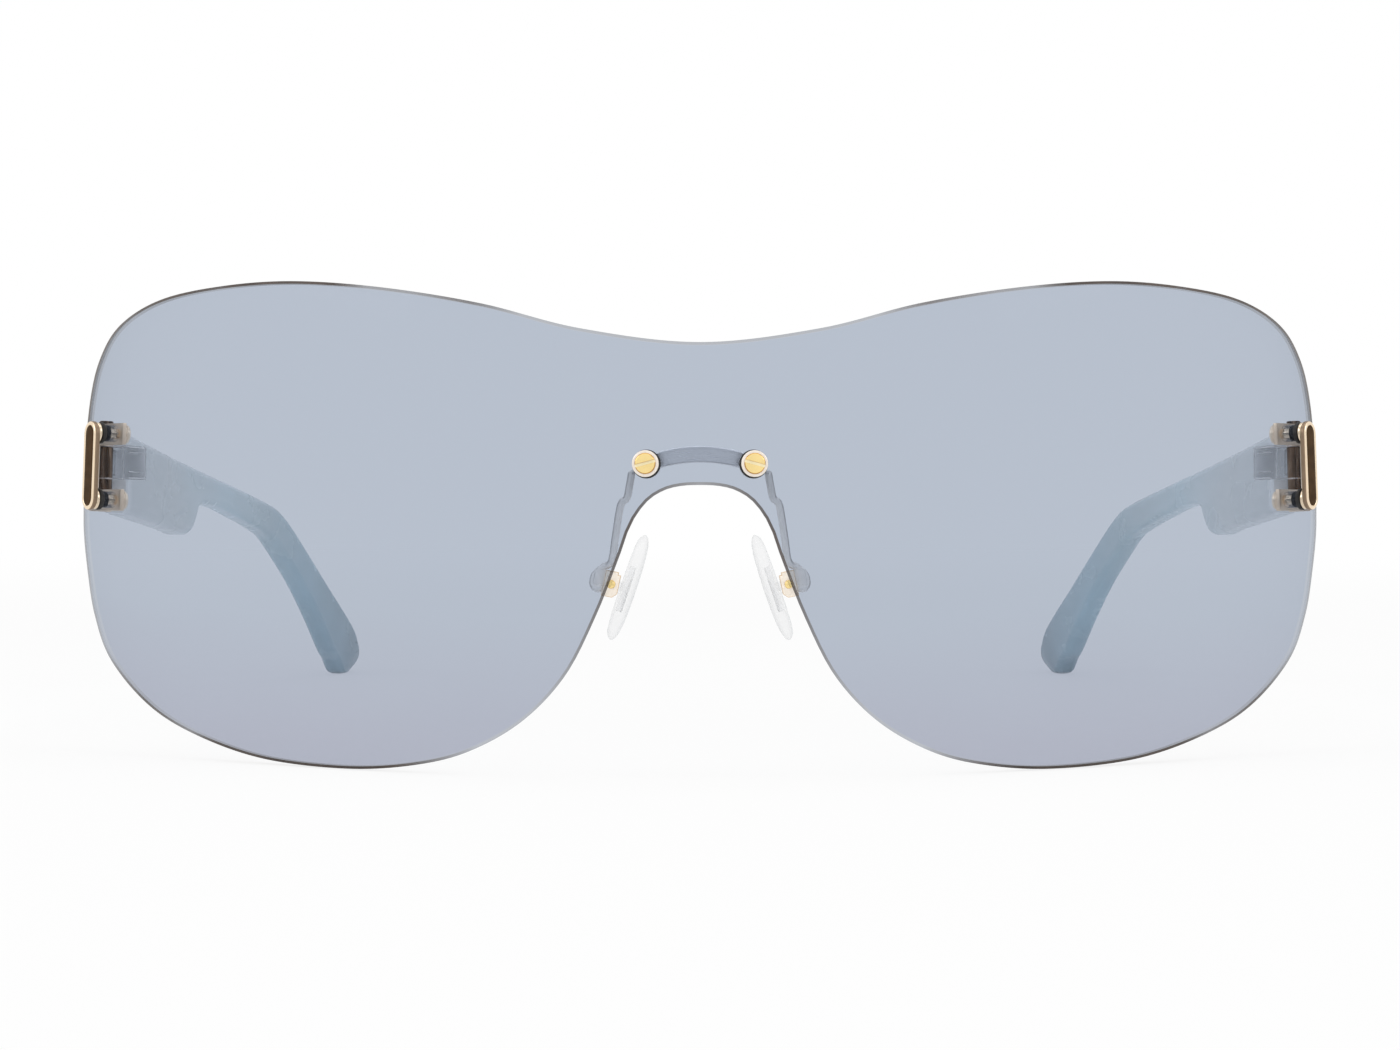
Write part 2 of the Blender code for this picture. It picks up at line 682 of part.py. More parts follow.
def make_hinge_screw(side_name, side, stand):
    """The hinge screw: a slotted head on the upper knuckle and a plain shank."""
    head_bottom = EAR_TOP + SEAT_GAP
    head_top = head_bottom + HINGE_HEAD_HEIGHT
    bm = bmesh.new()
    rings = [
        circle_ring(PIN_FRAME, HINGE_PIN_RADIUS, (0, 0), -EAR_TOP),
        circle_ring(PIN_FRAME, HINGE_PIN_RADIUS, (0, 0), head_bottom),
        circle_ring(PIN_FRAME, HINGE_HEAD_RADIUS, (0, 0), head_bottom),
        circle_ring(PIN_FRAME, HINGE_HEAD_RADIUS, (0, 0), head_top - NUT_EDGE),
        circle_ring(PIN_FRAME, HINGE_HEAD_RADIUS - NUT_EDGE, (0, 0), head_top),
    ]
    skin(bm, rings)
    screw = make_piece(f"hinge_screw_{side_name}", bm, HINGE_POINT, side, "dark_bronze", stand)
    bm = bmesh.new()
    reach = HINGE_HEAD_RADIUS + CUT_OVERRUN
    outline = box_outline(-reach, reach, -SLOT_WIDTH / 2, SLOT_WIDTH / 2)
    add_prism(bm, PIN_FRAME, outline, head_top - SLOT_DEPTH, head_top + CUT_OVERRUN)
    slot = make_piece(
        f"hinge_screw_slot_{side_name}", bm, HINGE_POINT, side, "dark_bronze", stand
    )
    add_boolean(screw, slot, "DIFFERENCE")


def temple_turn(back):
    """How far the temple's faces lie inward of straight, at a distance back."""
    past = max(back - TEMPLE_TURN_START, 0)
    ramp = min(past, TEMPLE_TURN_LENGTH)
    return TEMPLE_TIP_TURN * (ramp**2 / (2 * TEMPLE_TURN_LENGTH) + past - ramp)


def temple_width(back):
    """Thickness of the temple, which slims past the tall plate at its front."""
    plate_end = TEMPLE_RUNG_SHARES[3][0] * TEMPLE_LENGTH
    arm_start = TEMPLE_RUNG_SHARES[8][0] * TEMPLE_LENGTH
    share = min(max((back - plate_end) / (arm_start - plate_end), 0), 1)
    return TEMPLE_THICKNESS + (TEMPLE_ARM_THICKNESS - TEMPLE_THICKNESS) * share


def rung_ring(top, bottom, squeeze=1):
    """A rounded section of the temple along a rung, thinned by squeeze at the tip."""
    middle = (top + bottom) / 2
    half = (top - bottom).length / 2
    along = (top - bottom).normalized()
    width = temple_width(middle.x)
    inner = TEMPLE_INNER_FACE
    if squeeze < 1:
        inner += width * (1 - squeeze) / 2
    width *= squeeze
    radius = min(TEMPLE_EDGE_RADIUS, half * squeeze, width / 2 * squeeze)
    ring = []
    corners = ((1, 1), (-1, 1), (-1, -1), (1, -1))
    for quarter, (over, out) in enumerate(corners):
        for i in range(TEMPLE_CORNER_STEPS + 1):
            turn = math.pi / 2 * (quarter + i / TEMPLE_CORNER_STEPS)
            up = over * (half - radius) + radius * math.cos(turn)
            across = out * (width / 2 - radius) + radius * math.sin(turn)
            place = middle + along * up
            side = inner + width / 2 + across - temple_turn(place.x)
            ring.append(TEMPLE_FRAME @ Vector((side, place.x, place.y)))
    return ring


def temple_rungs():
    """The top and bottom end of each rung, smoothed between the table's."""
    scale = Vector((TEMPLE_LENGTH, TEMPLE_HEIGHT))
    lift = Vector((0, TEMPLE_LEVEL))
    tops = [Vector((a, b)) * scale + lift for a, b, _, _ in TEMPLE_RUNG_SHARES]
    bottoms = [Vector((c, d)) * scale + lift for _, _, c, d in TEMPLE_RUNG_SHARES]
    front = TEMPLE_FRONT
    first = []
    for edge in (tops, bottoms):
        slope = (edge[1].y - edge[0].y) / (edge[1].x - edge[0].x)
        first.append(Vector((front, edge[0].y + slope * (front - edge[0].x))))
    tops = smooth_path([first[0]] + tops, TEMPLE_RUNG_STEPS)
    bottoms = smooth_path([first[1]] + bottoms, TEMPLE_RUNG_STEPS)
    return tops, bottoms


def make_temple(side_name, side, stand):
    """The acetate temple, with a pocket in its front for the hinge block."""
    tops, bottoms = temple_rungs()
    rings = [rung_ring(top, bottom) for top, bottom in zip(tops, bottoms)]
    top, bottom = tops[-1], bottoms[-1]
    ahead = Vector((top.y - bottom.y, bottom.x - top.x))
    for forward, size in TIP_ROUNDING_SHARES:
        middle = (top + bottom) / 2 + ahead * forward / 2
        half = (top - bottom) * size / 2
        rings.append(rung_ring(middle + half, middle - half, size))
    bm = bmesh.new()
    skin(bm, rings)
    temple = make_piece(f"temple_{side_name}", bm, HINGE_POINT, side, "grey_acetate", stand)

    bm = bmesh.new()
    low = BLOCK_LEVEL - BLOCK_HEIGHT / 2 - POCKET_GAP
    high = BLOCK_LEVEL + BLOCK_HEIGHT / 2 + POCKET_GAP
    outline = box_outline(
        TEMPLE_INNER_FACE - CUT_OVERRUN,
        TEMPLE_OUTER_FACE - POCKET_WALL,
        TEMPLE_FRONT - CUT_OVERRUN,
        TEMPLE_FRONT + BLOCK_LENGTH + POCKET_GAP,
    )
    add_prism(bm, TEMPLE_FRAME, outline, low, high)
    pocket = make_piece(
        f"temple_pocket_{side_name}", bm, HINGE_POINT, side, "grey_acetate", stand
    )
    add_boolean(temple, pocket, "DIFFERENCE")


def make_hinge_tongue(side_name, side, stand):
    """The temple's own knuckle, with the tongue that sits in the temple's pocket."""
    half = EAR_GAP - RUNNING_GAP
    bm = bmesh.new()
    add_rod(bm, PIN_FRAME, KNUCKLE_RADIUS, -half, half)
    knuckle = make_piece(
        f"hinge_tongue_{side_name}", bm, HINGE_POINT, side, "dark_bronze", stand
    )
    bm = bmesh.new()
    outer = TEMPLE_OUTER_FACE - POCKET_WALL - POCKET_GAP
    outline = box_outline(outer - TONGUE_THICKNESS, outer, 0, TEMPLE_FRONT + TONGUE_LENGTH)
    low = BLOCK_LEVEL - TONGUE_HEIGHT / 2
    add_prism(bm, TEMPLE_FRAME, outline, low, low + TONGUE_HEIGHT)
    tongue = make_piece(
        f"tongue_plate_{side_name}", bm, HINGE_POINT, side, "dark_bronze", stand
    )
    add_boolean(knuckle, tongue, "UNION")
    bm = bmesh.new()
    reach = half + CUT_OVERRUN
    add_rod(bm, PIN_FRAME, HINGE_PIN_RADIUS + SEAT_GAP, -reach, reach)
    bore = make_piece(f"tongue_bore_{side_name}", bm, HINGE_POINT, side, "dark_bronze", stand)
    add_boolean(knuckle, bore, "DIFFERENCE")


def make_hinge_block(side_name, side, stand):
    """The clear block that fills the temple's pocket, slotted for the tongue."""
    bm = bmesh.new()
    outer = TEMPLE_OUTER_FACE - POCKET_WALL - POCKET_GAP
    outline = box_outline(TEMPLE_INNER_FACE, outer, TEMPLE_FRONT, TEMPLE_FRONT + BLOCK_LENGTH)
    low = BLOCK_LEVEL - BLOCK_HEIGHT / 2
    add_prism(bm, TEMPLE_FRAME, outline, low, low + BLOCK_HEIGHT)
    block = make_piece(
        f"hinge_block_{side_name}", bm, HINGE_POINT, side, "clear_plastic", stand
    )
    add_bevel(block, POCKET_GAP)

    bm = bmesh.new()
    outline = box_outline(
        outer - TONGUE_THICKNESS - POCKET_GAP,
        outer + CUT_OVERRUN,
        TEMPLE_FRONT - CUT_OVERRUN,
        TEMPLE_FRONT + TONGUE_LENGTH + POCKET_GAP,
    )
    low = BLOCK_LEVEL - TONGUE_HEIGHT / 2 - POCKET_GAP
    add_prism(bm, TEMPLE_FRAME, outline, low, low + TONGUE_HEIGHT + 2 * POCKET_GAP)
    slot = make_piece(
        f"hinge_block_slot_{side_name}", bm, HINGE_POINT, side, "clear_plastic", stand
    )
    add_boolean(block, slot, "DIFFERENCE")


def bar_ring(share):
    """A section of the bridge bar at a share of the way from eye to eye."""
    across = BRIDGE_SCREW_REACH * share
    level = BRIDGE_SCREW_LEVEL + BAR_RISE * (1 - share**2)
    radius = lens_ring_radius(level) - LENS_THICKNESS - LENS_BACK_GAP
    ring = []
    for up, under in ((1, 0), (-1, 0), (-1, BAR_THICKNESS), (1, BAR_THICKNESS)):
        turn = math.asin(across / radius)
        ring.append(
            Vector(
                (
                    (radius - under) * math.sin(turn),
                    LENS_RADIUS - (radius - under) * math.cos(turn),
                    level + up * BAR_HEIGHT / 2,
                )
            )
        )
    return ring


def make_bridge_bar(stand):
    """The bar behind the lens: an arched strip with an eye at each end."""
    bm = bmesh.new()
    skin(bm, [bar_ring(2 * i / BAR_STEPS - 1) for i in range(BAR_STEPS + 1)])
    bar = make_piece("bridge_bar", bm, Vector((0, 0, 0)), 1, "satin_steel", stand)
    for side_name, side in SIDES:
        place = BRIDGE_FRAME.translation
        bm = bmesh.new()
        add_rod(bm, BRIDGE_FRAME, BAR_EYE_RADIUS, BAR_FRONT, BAR_BACK)
        eye = make_piece(f"bar_eye_{side_name}", bm, place, side, "satin_steel", stand)
        add_boolean(bar, eye, "UNION")
    for side_name, side in SIDES:
        place = BRIDGE_FRAME.translation
        bm = bmesh.new()
        add_rod(
            bm, BRIDGE_FRAME, BORE_ROUND_SHANK, BAR_FRONT + CUT_OVERRUN, BAR_BACK - CUT_OVERRUN
        )
        hole = make_piece(f"bar_hole_{side_name}", bm, place, side, "satin_steel", stand)
        add_boolean(bar, hole, "DIFFERENCE")


def make_bridge_fixing(side_name, side, stand):
    """The screw, washer, sleeve and cap nut at one end of the bridge bar."""
    place = BRIDGE_FRAME.translation
    head_top = BRIDGE_HEAD_BOTTOM + BRIDGE_HEAD_HEIGHT
    bm = bmesh.new()
    centre = (0, 0)
    rings = [
        circle_ring(BRIDGE_FRAME, BRIDGE_SHANK_RADIUS, centre, BRIDGE_SHANK_END),
        circle_ring(BRIDGE_FRAME, BRIDGE_SHANK_RADIUS, centre, BRIDGE_HEAD_BOTTOM),
        circle_ring(BRIDGE_FRAME, BRIDGE_HEAD_RADIUS, centre, BRIDGE_HEAD_BOTTOM),
        circle_ring(BRIDGE_FRAME, BRIDGE_HEAD_RADIUS, centre, head_top - NUT_EDGE),
        circle_ring(BRIDGE_FRAME, BRIDGE_HEAD_RADIUS - NUT_EDGE, centre, head_top),
    ]
    skin(bm, rings)
    screw = make_piece(f"bridge_screw_{side_name}", bm, place, side, "yellow_gold", stand)
    bm = bmesh.new()
    reach = BRIDGE_HEAD_RADIUS + CUT_OVERRUN
    half = BRIDGE_SLOT_WIDTH / 2
    frame = BRIDGE_FRAME @ Matrix.Rotation(-BRIDGE_SLOT_TURN, 4, "Z")
    outline = box_outline(-reach, reach, -half, half)
    add_prism(bm, frame, outline, head_top - BRIDGE_SLOT_DEPTH, head_top + CUT_OVERRUN)
    slot = make_piece(f"bridge_screw_slot_{side_name}", bm, place, side, "yellow_gold", stand)
    add_boolean(screw, slot, "DIFFERENCE")

    bm = bmesh.new()
    add_tube(
        bm,
        BRIDGE_FRAME,
        (WASHER_RADIUS, WASHER_RADIUS),
        BORE_ROUND_SHANK,
        (LENS_GAP, WASHER_TOP),
    )
    make_piece(f"bridge_washer_{side_name}", bm, place, side, "pale_washer", stand)

    bm = bmesh.new()
    add_tube(
        bm,
        BRIDGE_FRAME,
        (BRIDGE_SLEEVE_RADIUS, BRIDGE_SLEEVE_RADIUS),
        BORE_ROUND_SHANK,
        (-LENS_THICKNESS, 0),
    )
    make_piece(f"bridge_sleeve_{side_name}", bm, place, side, "clear_plastic", stand)

    bm = bmesh.new()
    add_rod(
        bm, BRIDGE_FRAME, BRIDGE_NUT_RADIUS, BRIDGE_NUT_FRONT, BRIDGE_NUT_END, centre, NUT_EDGE
    )
    nut = make_piece(f"bridge_nut_{side_name}", bm, place, side, "yellow_gold", stand)
    bm = bmesh.new()
    roof = BRIDGE_NUT_END + BRIDGE_NUT_ROOF
    add_rod(bm, BRIDGE_FRAME, BORE_ROUND_SHANK, BRIDGE_NUT_FRONT + CUT_OVERRUN, roof)
    hole = make_piece(f"bridge_nut_hole_{side_name}", bm, place, side, "yellow_gold", stand)
    add_boolean(nut, hole, "DIFFERENCE")


def make_pad_arm(side_name, side, stand):
    """The wire arm from the bar's eye to the pad box, curled at its foot."""
    start = BRIDGE_FRAME @ Vector((0, 0, BAR_BACK + ARM_RADIUS))
    points = [
        start + Vector((across, back, up)) * PAD_ARM_SPAN
        for across, back, up in ARM_ROUTE_SHARES
    ]
    path = smooth_path(points, ARM_CURVE_STEPS)
    curve = bpy.data.curves.new(f"pad_arm_{side_name}", "CURVE")
    curve.dimensions = "3D"
    curve.bevel_depth = ARM_RADIUS
    curve.bevel_resolution = ARM_SIDES_STEPS
    curve.use_fill_caps = True
    spline = curve.splines.new("POLY")
    spline.points.add(len(path) - 1)
    for knot, point in zip(spline.points, path):
        knot.co = ((point.x - start.x) * side, point.y - start.y, point.z - start.z, 1)
    curve.materials.append(finish_material("satin_steel"))
    arm = bpy.data.objects.new(f"pad_arm_{side_name}", curve)
    arm.location = (start.x * side, start.y, start.z)
    arm.parent = stand
    bpy.context.collection.objects.link(arm)


# The box's frame: across, up and toward the front, leaned with the pad
BOX_FRAME = (
    Matrix.Translation(PAD_AXIS_POINT)
    @ Matrix.Rotation(-PAD_BOX_LEAN, 4, "Y")
    @ Matrix.Rotation(math.pi / 2, 4, "X")
)


def make_pad_box(side_name, side, stand):
    """The box that holds the pad's lug between two cheeks, and the screw through it."""
    half_width = PAD_BOX_WIDTH / 2
    half_height = PAD_BOX_HEIGHT / 2
    half_length = PAD_BOX_LENGTH / 2
    outline = [
        (half_width, -half_height),
        (half_width, half_height),
        (-half_width + PAD_BOX_NOTCH, half_height),
        (-half_width + PAD_BOX_NOTCH, half_height - PAD_BOX_NOTCH),
        (-half_width, half_height - PAD_BOX_NOTCH),
        (-half_width, -half_height + PAD_BOX_CHAMFER),
        (-half_width + PAD_BOX_CHAMFER, -half_height),
    ]
    bm = bmesh.new()
    add_prism(bm, BOX_FRAME, outline, -half_length, half_length)
    box = make_piece(f"pad_box_{side_name}", bm, PAD_AXIS_POINT, side, "pale_gold", stand)
    bm = bmesh.new()
    reach = half_height + CUT_OVERRUN
    outline = box_outline(-half_width - CUT_OVERRUN, half_width - PAD_BOX_FLOOR, -reach, reach)
    add_prism(bm, BOX_FRAME, outline, -PAD_BOX_SLOT / 2, PAD_BOX_SLOT / 2)
    slot = make_piece(f"pad_box_slot_{side_name}", bm, PAD_AXIS_POINT, side, "pale_gold", stand)
    add_boolean(box, slot, "DIFFERENCE")
    bm = bmesh.new()
    reach = half_length + CUT_OVERRUN
    add_rod(bm, BOX_FRAME, PAD_SCREW_RADIUS + SEAT_GAP, -reach, reach)
    hole = make_piece(f"pad_box_hole_{side_name}", bm, PAD_AXIS_POINT, side, "pale_gold", stand)
    add_boolean(box, hole, "DIFFERENCE")

    head_bottom = half_length + SEAT_GAP
    head_top = head_bottom + PAD_SCREW_HEAD
    centre = (0, 0)
    bm = bmesh.new()
    rings = [
        circle_ring(BOX_FRAME, PAD_SCREW_RADIUS, centre, -half_length),
        circle_ring(BOX_FRAME, PAD_SCREW_RADIUS, centre, head_bottom),
        circle_ring(BOX_FRAME, PAD_SCREW_HEAD_RADIUS, centre, head_bottom),
        circle_ring(BOX_FRAME, PAD_SCREW_HEAD_RADIUS, centre, head_top),
    ]
    skin(bm, rings)
    screw = make_piece(f"pad_screw_{side_name}", bm, PAD_AXIS_POINT, side, "yellow_gold", stand)
    bm = bmesh.new()
    reach = PAD_SCREW_HEAD_RADIUS + CUT_OVERRUN
    half = PAD_SCREW_SLOT / 2
    outline = box_outline(-reach, reach, -half, half)
    add_prism(bm, BOX_FRAME, outline, head_top - half, head_top + CUT_OVERRUN)
    slot = make_piece(
        f"pad_screw_slot_{side_name}", bm, PAD_AXIS_POINT, side, "yellow_gold", stand
    )
    add_boolean(screw, slot, "DIFFERENCE")


# The pad's frame: from front to back, up along the pad, and toward the nose
PAD_FRAME = (
    Matrix.Translation(PAD_AXIS_POINT)
    @ Matrix.Rotation(-PAD_LEAN, 4, "Y")
    @ Matrix.Rotation(-PAD_SPLAY, 4, "Z")
    @ Matrix(((0, 0, -1, 0), (1, 0, 0, 0), (0, 1, 0, 0), (0, 0, 0, 1)))
    @ Matrix.Translation((PAD_SETBACK, -PAD_DROP, PAD_SEAT))
)


def pad_outline(share):
    """The pad's rounded outline, narrower at the top, at a share of its full size."""
    points = []
    for i in range(PAD_OUTLINE_STEPS):
        turn = math.tau * i / PAD_OUTLINE_STEPS
        up = math.sin(turn)
        width = PAD_LENGTH / 2 * (1 - PAD_POINT_SHARE * up)
        points.append((share * width * math.cos(turn), share * PAD_HEIGHT / 2 * up))
    return points


def make_nose_pad(side_name, side, stand):
    """The soft pad with its hard core, whose lug turns on the box's screw."""
    bm = bmesh.new()
    rings = []
    for height, share in PAD_LAYER_SHARES:
        level = height * PAD_THICKNESS
        rings.append([PAD_FRAME @ Vector((a, b, level)) for a, b in pad_outline(share)])
    skin(bm, rings)
    pad = make_piece(f"nose_pad_{side_name}", bm, PAD_AXIS_POINT, side, "clear_silicone", stand)

    back = -PAD_THICKNESS / 2
    lug_centre = -PAD_SETBACK
    half_length = PAD_CORE_LENGTH / 2
    half_height = PAD_CORE_HEIGHT / 2
    bm = bmesh.new()
    outline = box_outline(
        lug_centre - half_length - SEAT_GAP,
        lug_centre + half_length + SEAT_GAP,
        PAD_DROP - half_height - SEAT_GAP,
        PAD_DROP + half_height + SEAT_GAP,
    )
    add_prism(bm, PAD_FRAME, outline, back - CUT_OVERRUN, back + PAD_CORE_THICKNESS + SEAT_GAP)
    pocket = make_piece(
        f"nose_pad_pocket_{side_name}", bm, PAD_AXIS_POINT, side, "clear_silicone", stand
    )
    add_boolean(pad, pocket, "DIFFERENCE")

    bm = bmesh.new()
    outline = box_outline(
        lug_centre - half_length,
        lug_centre + half_length,
        PAD_DROP - half_height,
        PAD_DROP + half_height,
    )
    add_prism(bm, PAD_FRAME, outline, back, back + PAD_CORE_THICKNESS)
    core = make_piece(f"pad_core_{side_name}", bm, PAD_AXIS_POINT, side, "clear_plastic", stand)
    half_lug = PAD_BOX_SLOT / 2 - PAD_LUG_SIDE_GAP
    bm = bmesh.new()
    add_rod(bm, BOX_FRAME, PAD_LUG_RADIUS, -half_lug, half_lug)
    lug = make_piece(f"pad_lug_{side_name}", bm, PAD_AXIS_POINT, side, "clear_plastic", stand)
    add_boolean(core, lug, "UNION")
    bm = bmesh.new()
    reach = PAD_SEAT - PAD_THICKNESS / 2 + PAD_CORE_THICKNESS / 2
    outline = box_outline(-reach, 0, -PAD_LUG_RADIUS, PAD_LUG_RADIUS)
    add_prism(bm, BOX_FRAME, outline, -half_lug, half_lug)
    stem = make_piece(f"pad_stem_{side_name}", bm, PAD_AXIS_POINT, side, "clear_plastic", stand)
    add_boolean(core, stem, "UNION")
    bm = bmesh.new()
    reach = half_lug + CUT_OVERRUN
    add_rod(bm, BOX_FRAME, PAD_SCREW_RADIUS + SEAT_GAP, -reach, reach)
    bore = make_piece(f"pad_core_bore_{side_name}", bm, PAD_AXIS_POINT, side, "clear_plastic", stand)
    add_boolean(core, bore, "DIFFERENCE")


def shown_points(pieces):
    """Every corner of the given pieces as they stand, in world space."""
    bpy.context.view_layer.update()
    depsgraph = bpy.context.evaluated_depsgraph_get()
    points = []
    for piece in pieces:
        shown = piece.evaluated_get(depsgraph)
        mesh = shown.to_mesh()
        points += [shown.matrix_world @ vertex.co for vertex in mesh.vertices]
        shown.to_mesh_clear()
    return points


def stand_on_table(stand, lens):
    """Leans the frame until the lens and the tips touch one plane, and centres it."""
    shown = [item for item in bpy.data.objects if item.type != "EMPTY" and not item.hide_render]
    front = shown_points([lens])
    back = shown_points([item for item in shown if item.name.startswith("temple_")])
    lean = 0
    for _ in range(LEAN_PASSES):
        turn = Matrix.Rotation(lean, 3, "X")
        low_front = min(front, key=lambda point: (turn @ point).z)
        low_back = min(back, key=lambda point: (turn @ point).z)
        lean = -math.atan2(low_back.z - low_front.z, low_back.y - low_front.y)
    stand.rotation_euler.x = lean
    points = shown_points(shown)
    low = Vector([min(point[axis] for point in points) for axis in range(3)])
    high = Vector([max(point[axis] for point in points) for axis in range(3)])
    stand.location = (-(low.x + high.x) / 2, -(low.y + high.y) / 2, -low.z)


def main():
    clear_scene()
    stand = bpy.data.objects.new("stand", None)
    bpy.context.collection.objects.link(stand)
    lens = make_lens(stand)
    make_bridge_bar(stand)
    for side_name, side in SIDES:
        make_bezel(side_name, side, stand)
        make_post_rings(side_name, side, stand)
        make_fork(side_name, side, stand)
        make_hinge_screw(side_name, side, stand)
        make_hinge_tongue(side_name, side, stand)
        make_hinge_block(side_name, side, stand)
        make_temple(side_name, side, stand)
        make_bridge_fixing(side_name, side, stand)
        make_pad_arm(side_name, side, stand)
        make_pad_box(side_name, side, stand)
        make_nose_pad(side_name, side, stand)
    stand_on_table(stand, lens)


main()
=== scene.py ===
"""Rimless shield sunglasses, dressed for a studio picture.

Every piece is laid out in the lens's own frame, for the wearer's left, and is then
mirrored where it has a twin and leaned onto the table with the whole pair.
All lengths are in metres and all angles in radians.
"""

import functools
import json
import math

import bmesh
import bpy
from bpy.props import FloatProperty, FloatVectorProperty, PointerProperty
from mathutils import Matrix, Vector

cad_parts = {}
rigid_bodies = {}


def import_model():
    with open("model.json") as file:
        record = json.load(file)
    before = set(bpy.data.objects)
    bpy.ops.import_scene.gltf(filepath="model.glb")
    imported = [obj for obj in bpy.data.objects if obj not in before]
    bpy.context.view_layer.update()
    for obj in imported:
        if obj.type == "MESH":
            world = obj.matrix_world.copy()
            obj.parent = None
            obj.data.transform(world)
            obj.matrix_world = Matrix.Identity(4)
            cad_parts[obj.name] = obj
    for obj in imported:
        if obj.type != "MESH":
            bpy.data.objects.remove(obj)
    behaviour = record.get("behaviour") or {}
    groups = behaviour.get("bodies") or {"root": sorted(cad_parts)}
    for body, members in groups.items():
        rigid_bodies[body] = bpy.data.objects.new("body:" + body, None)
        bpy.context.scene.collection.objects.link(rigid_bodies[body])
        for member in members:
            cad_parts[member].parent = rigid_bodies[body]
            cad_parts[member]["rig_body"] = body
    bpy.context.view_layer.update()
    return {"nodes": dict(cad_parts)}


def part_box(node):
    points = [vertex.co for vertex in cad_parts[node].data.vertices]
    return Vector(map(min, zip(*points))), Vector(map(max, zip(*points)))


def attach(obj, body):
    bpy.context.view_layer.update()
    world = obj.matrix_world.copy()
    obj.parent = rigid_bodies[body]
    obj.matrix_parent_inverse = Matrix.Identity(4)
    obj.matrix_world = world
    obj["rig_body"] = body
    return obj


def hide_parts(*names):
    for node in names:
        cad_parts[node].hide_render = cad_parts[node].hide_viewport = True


bl_info = {
    "name": "Shield Sunglasses",
    "version": (1, 0, 0),
    "blender": (4, 5, 0),
    "location": "View3D > Sidebar > Sunglasses",
    "description": "Builds rimless shield sunglasses with folding temples and a studio stage",
    "category": "Add Mesh",
}

for leftover in list(bpy.data.objects):
    bpy.data.objects.remove(leftover, do_unlink=True)
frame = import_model()

SIDES = (("left", 1), ("right", -1))
POSTS = (("upper", 1), ("lower", -1))

# Where the pair stands: the lens's foremost point and how far it leans back
STAND_PLACE = (0.0, -0.0840461, 0.0283032)
STAND_LEAN = math.radians(-1.99093)
STAND = Matrix.Translation(STAND_PLACE) @ Matrix.Rotation(STAND_LEAN, 4, "X")

# The lens outline from the middle of its top edge, round the wearer's left side,
# to the middle of the nose arch, as shares of the half width and half height
LENS_OUTLINE = (
    (0.000, 0.728), (0.178, 0.785), (0.329, 0.891), (0.485, 0.966), (0.627, 1.004),
    (0.748, 0.997), (0.855, 0.956), (0.930, 0.863), (0.969, 0.729), (0.989, 0.543),
    (0.999, 0.239), (1.000, 0.000), (0.992, -0.195), (0.978, -0.389), (0.947, -0.578),
    (0.876, -0.763), (0.790, -0.880), (0.673, -0.967), (0.532, -0.994), (0.422, -0.967),
    (0.341, -0.904), (0.263, -0.780), (0.200, -0.598), (0.154, -0.357), (0.119, -0.119),
    (0.103, 0.000), (0.080, 0.090), (0.055, 0.136), (0.029, 0.155), (0.000, 0.159),
)

# The point where the outline turns from the top edge to the bottom edge, the steps
# between two of its points, and how far its heights are drawn in
OUTLINE_TURN = 11
OUTLINE_STEPS = 24
OUTLINE_FIT = 0.9995

# The lens's facets: columns from side to side and steps down each column. Then where its
# rim turns, in edge widths, and how near its face a point counts as lying on it
LENS_COLUMNS = 320
LENS_STEPS = 36
RIM_CORNER = 0.6
ON_FACE = 0.0001

# How dark the lens's polished rim is painted, by distance from the middle, above and below
# the bar: painted reflection, dark where the edge mirrors dark surroundings, faint where it
# catches light
RIM_REACH = 0.075
UPPER_RIM_REFLECTION = (
    (0.0, 0.20), (0.020, 0.20), (0.026, 0.56), (0.033, 0.36), (0.038, 0.36),
    (0.043, 0.95), (0.051, 1.20), (0.056, 0.72), (0.064, 1.00), (0.068, 0.75),
)
LOWER_RIM_REFLECTION = (
    (0.0, 0.36), (0.008, 0.74), (0.011, 0.60), (0.016, 0.30), (0.019, 0.18), (0.025, 0.16),
    (0.033, 0.70), (0.044, 1.20), (0.055, 0.98), (0.060, 0.45), (0.066, 0.75), (0.072, 0.25),
)

# The edge of the enamel: how far in and how far down from its face. Then how far the
# posts stop short of the ends of their nuts
INLAY_EDGE = ((0.0, 0.00006), (0.00002, 0.00002), (0.00007, 0.0), (0.0004, 0.0))
POST_SHORT = 0.0003

# Where the fork's ears start, from the posts, and how far before the knuckle they leave
# the flat. Then the hinge screw's slot: width and depth
EAR_START = -0.0013
EAR_SHOULDER = 0.0011
HINGE_SLOT = (0.0003, 0.00025)

# Pale lines round the hinge's barrel, at the clear block's top and bottom: painted highlight
# carrying on the block's edges
LINE_DEPTH = 0.0003
LINE_RISE = 0.00001
LINE_WIDTH = 0.00024

# How far the clear block stands out of the temple, and how much of its front has no
# painted highlight edge. Then the two rods of painted highlight inside it, with heights in block
# heights
BLOCK_PROUD = 0.00012
BLOCK_FRONT = 0.0005
HIGHLIGHT_ROD_START = 0.0007
HIGHLIGHT_ROD_END = 0.0005
HIGHLIGHT_ROD_DEPTH = 0.0005
HIGHLIGHT_ROD_RADIUS = 0.00009
HIGHLIGHT_ROD_RISES = (-0.28, 0.32)

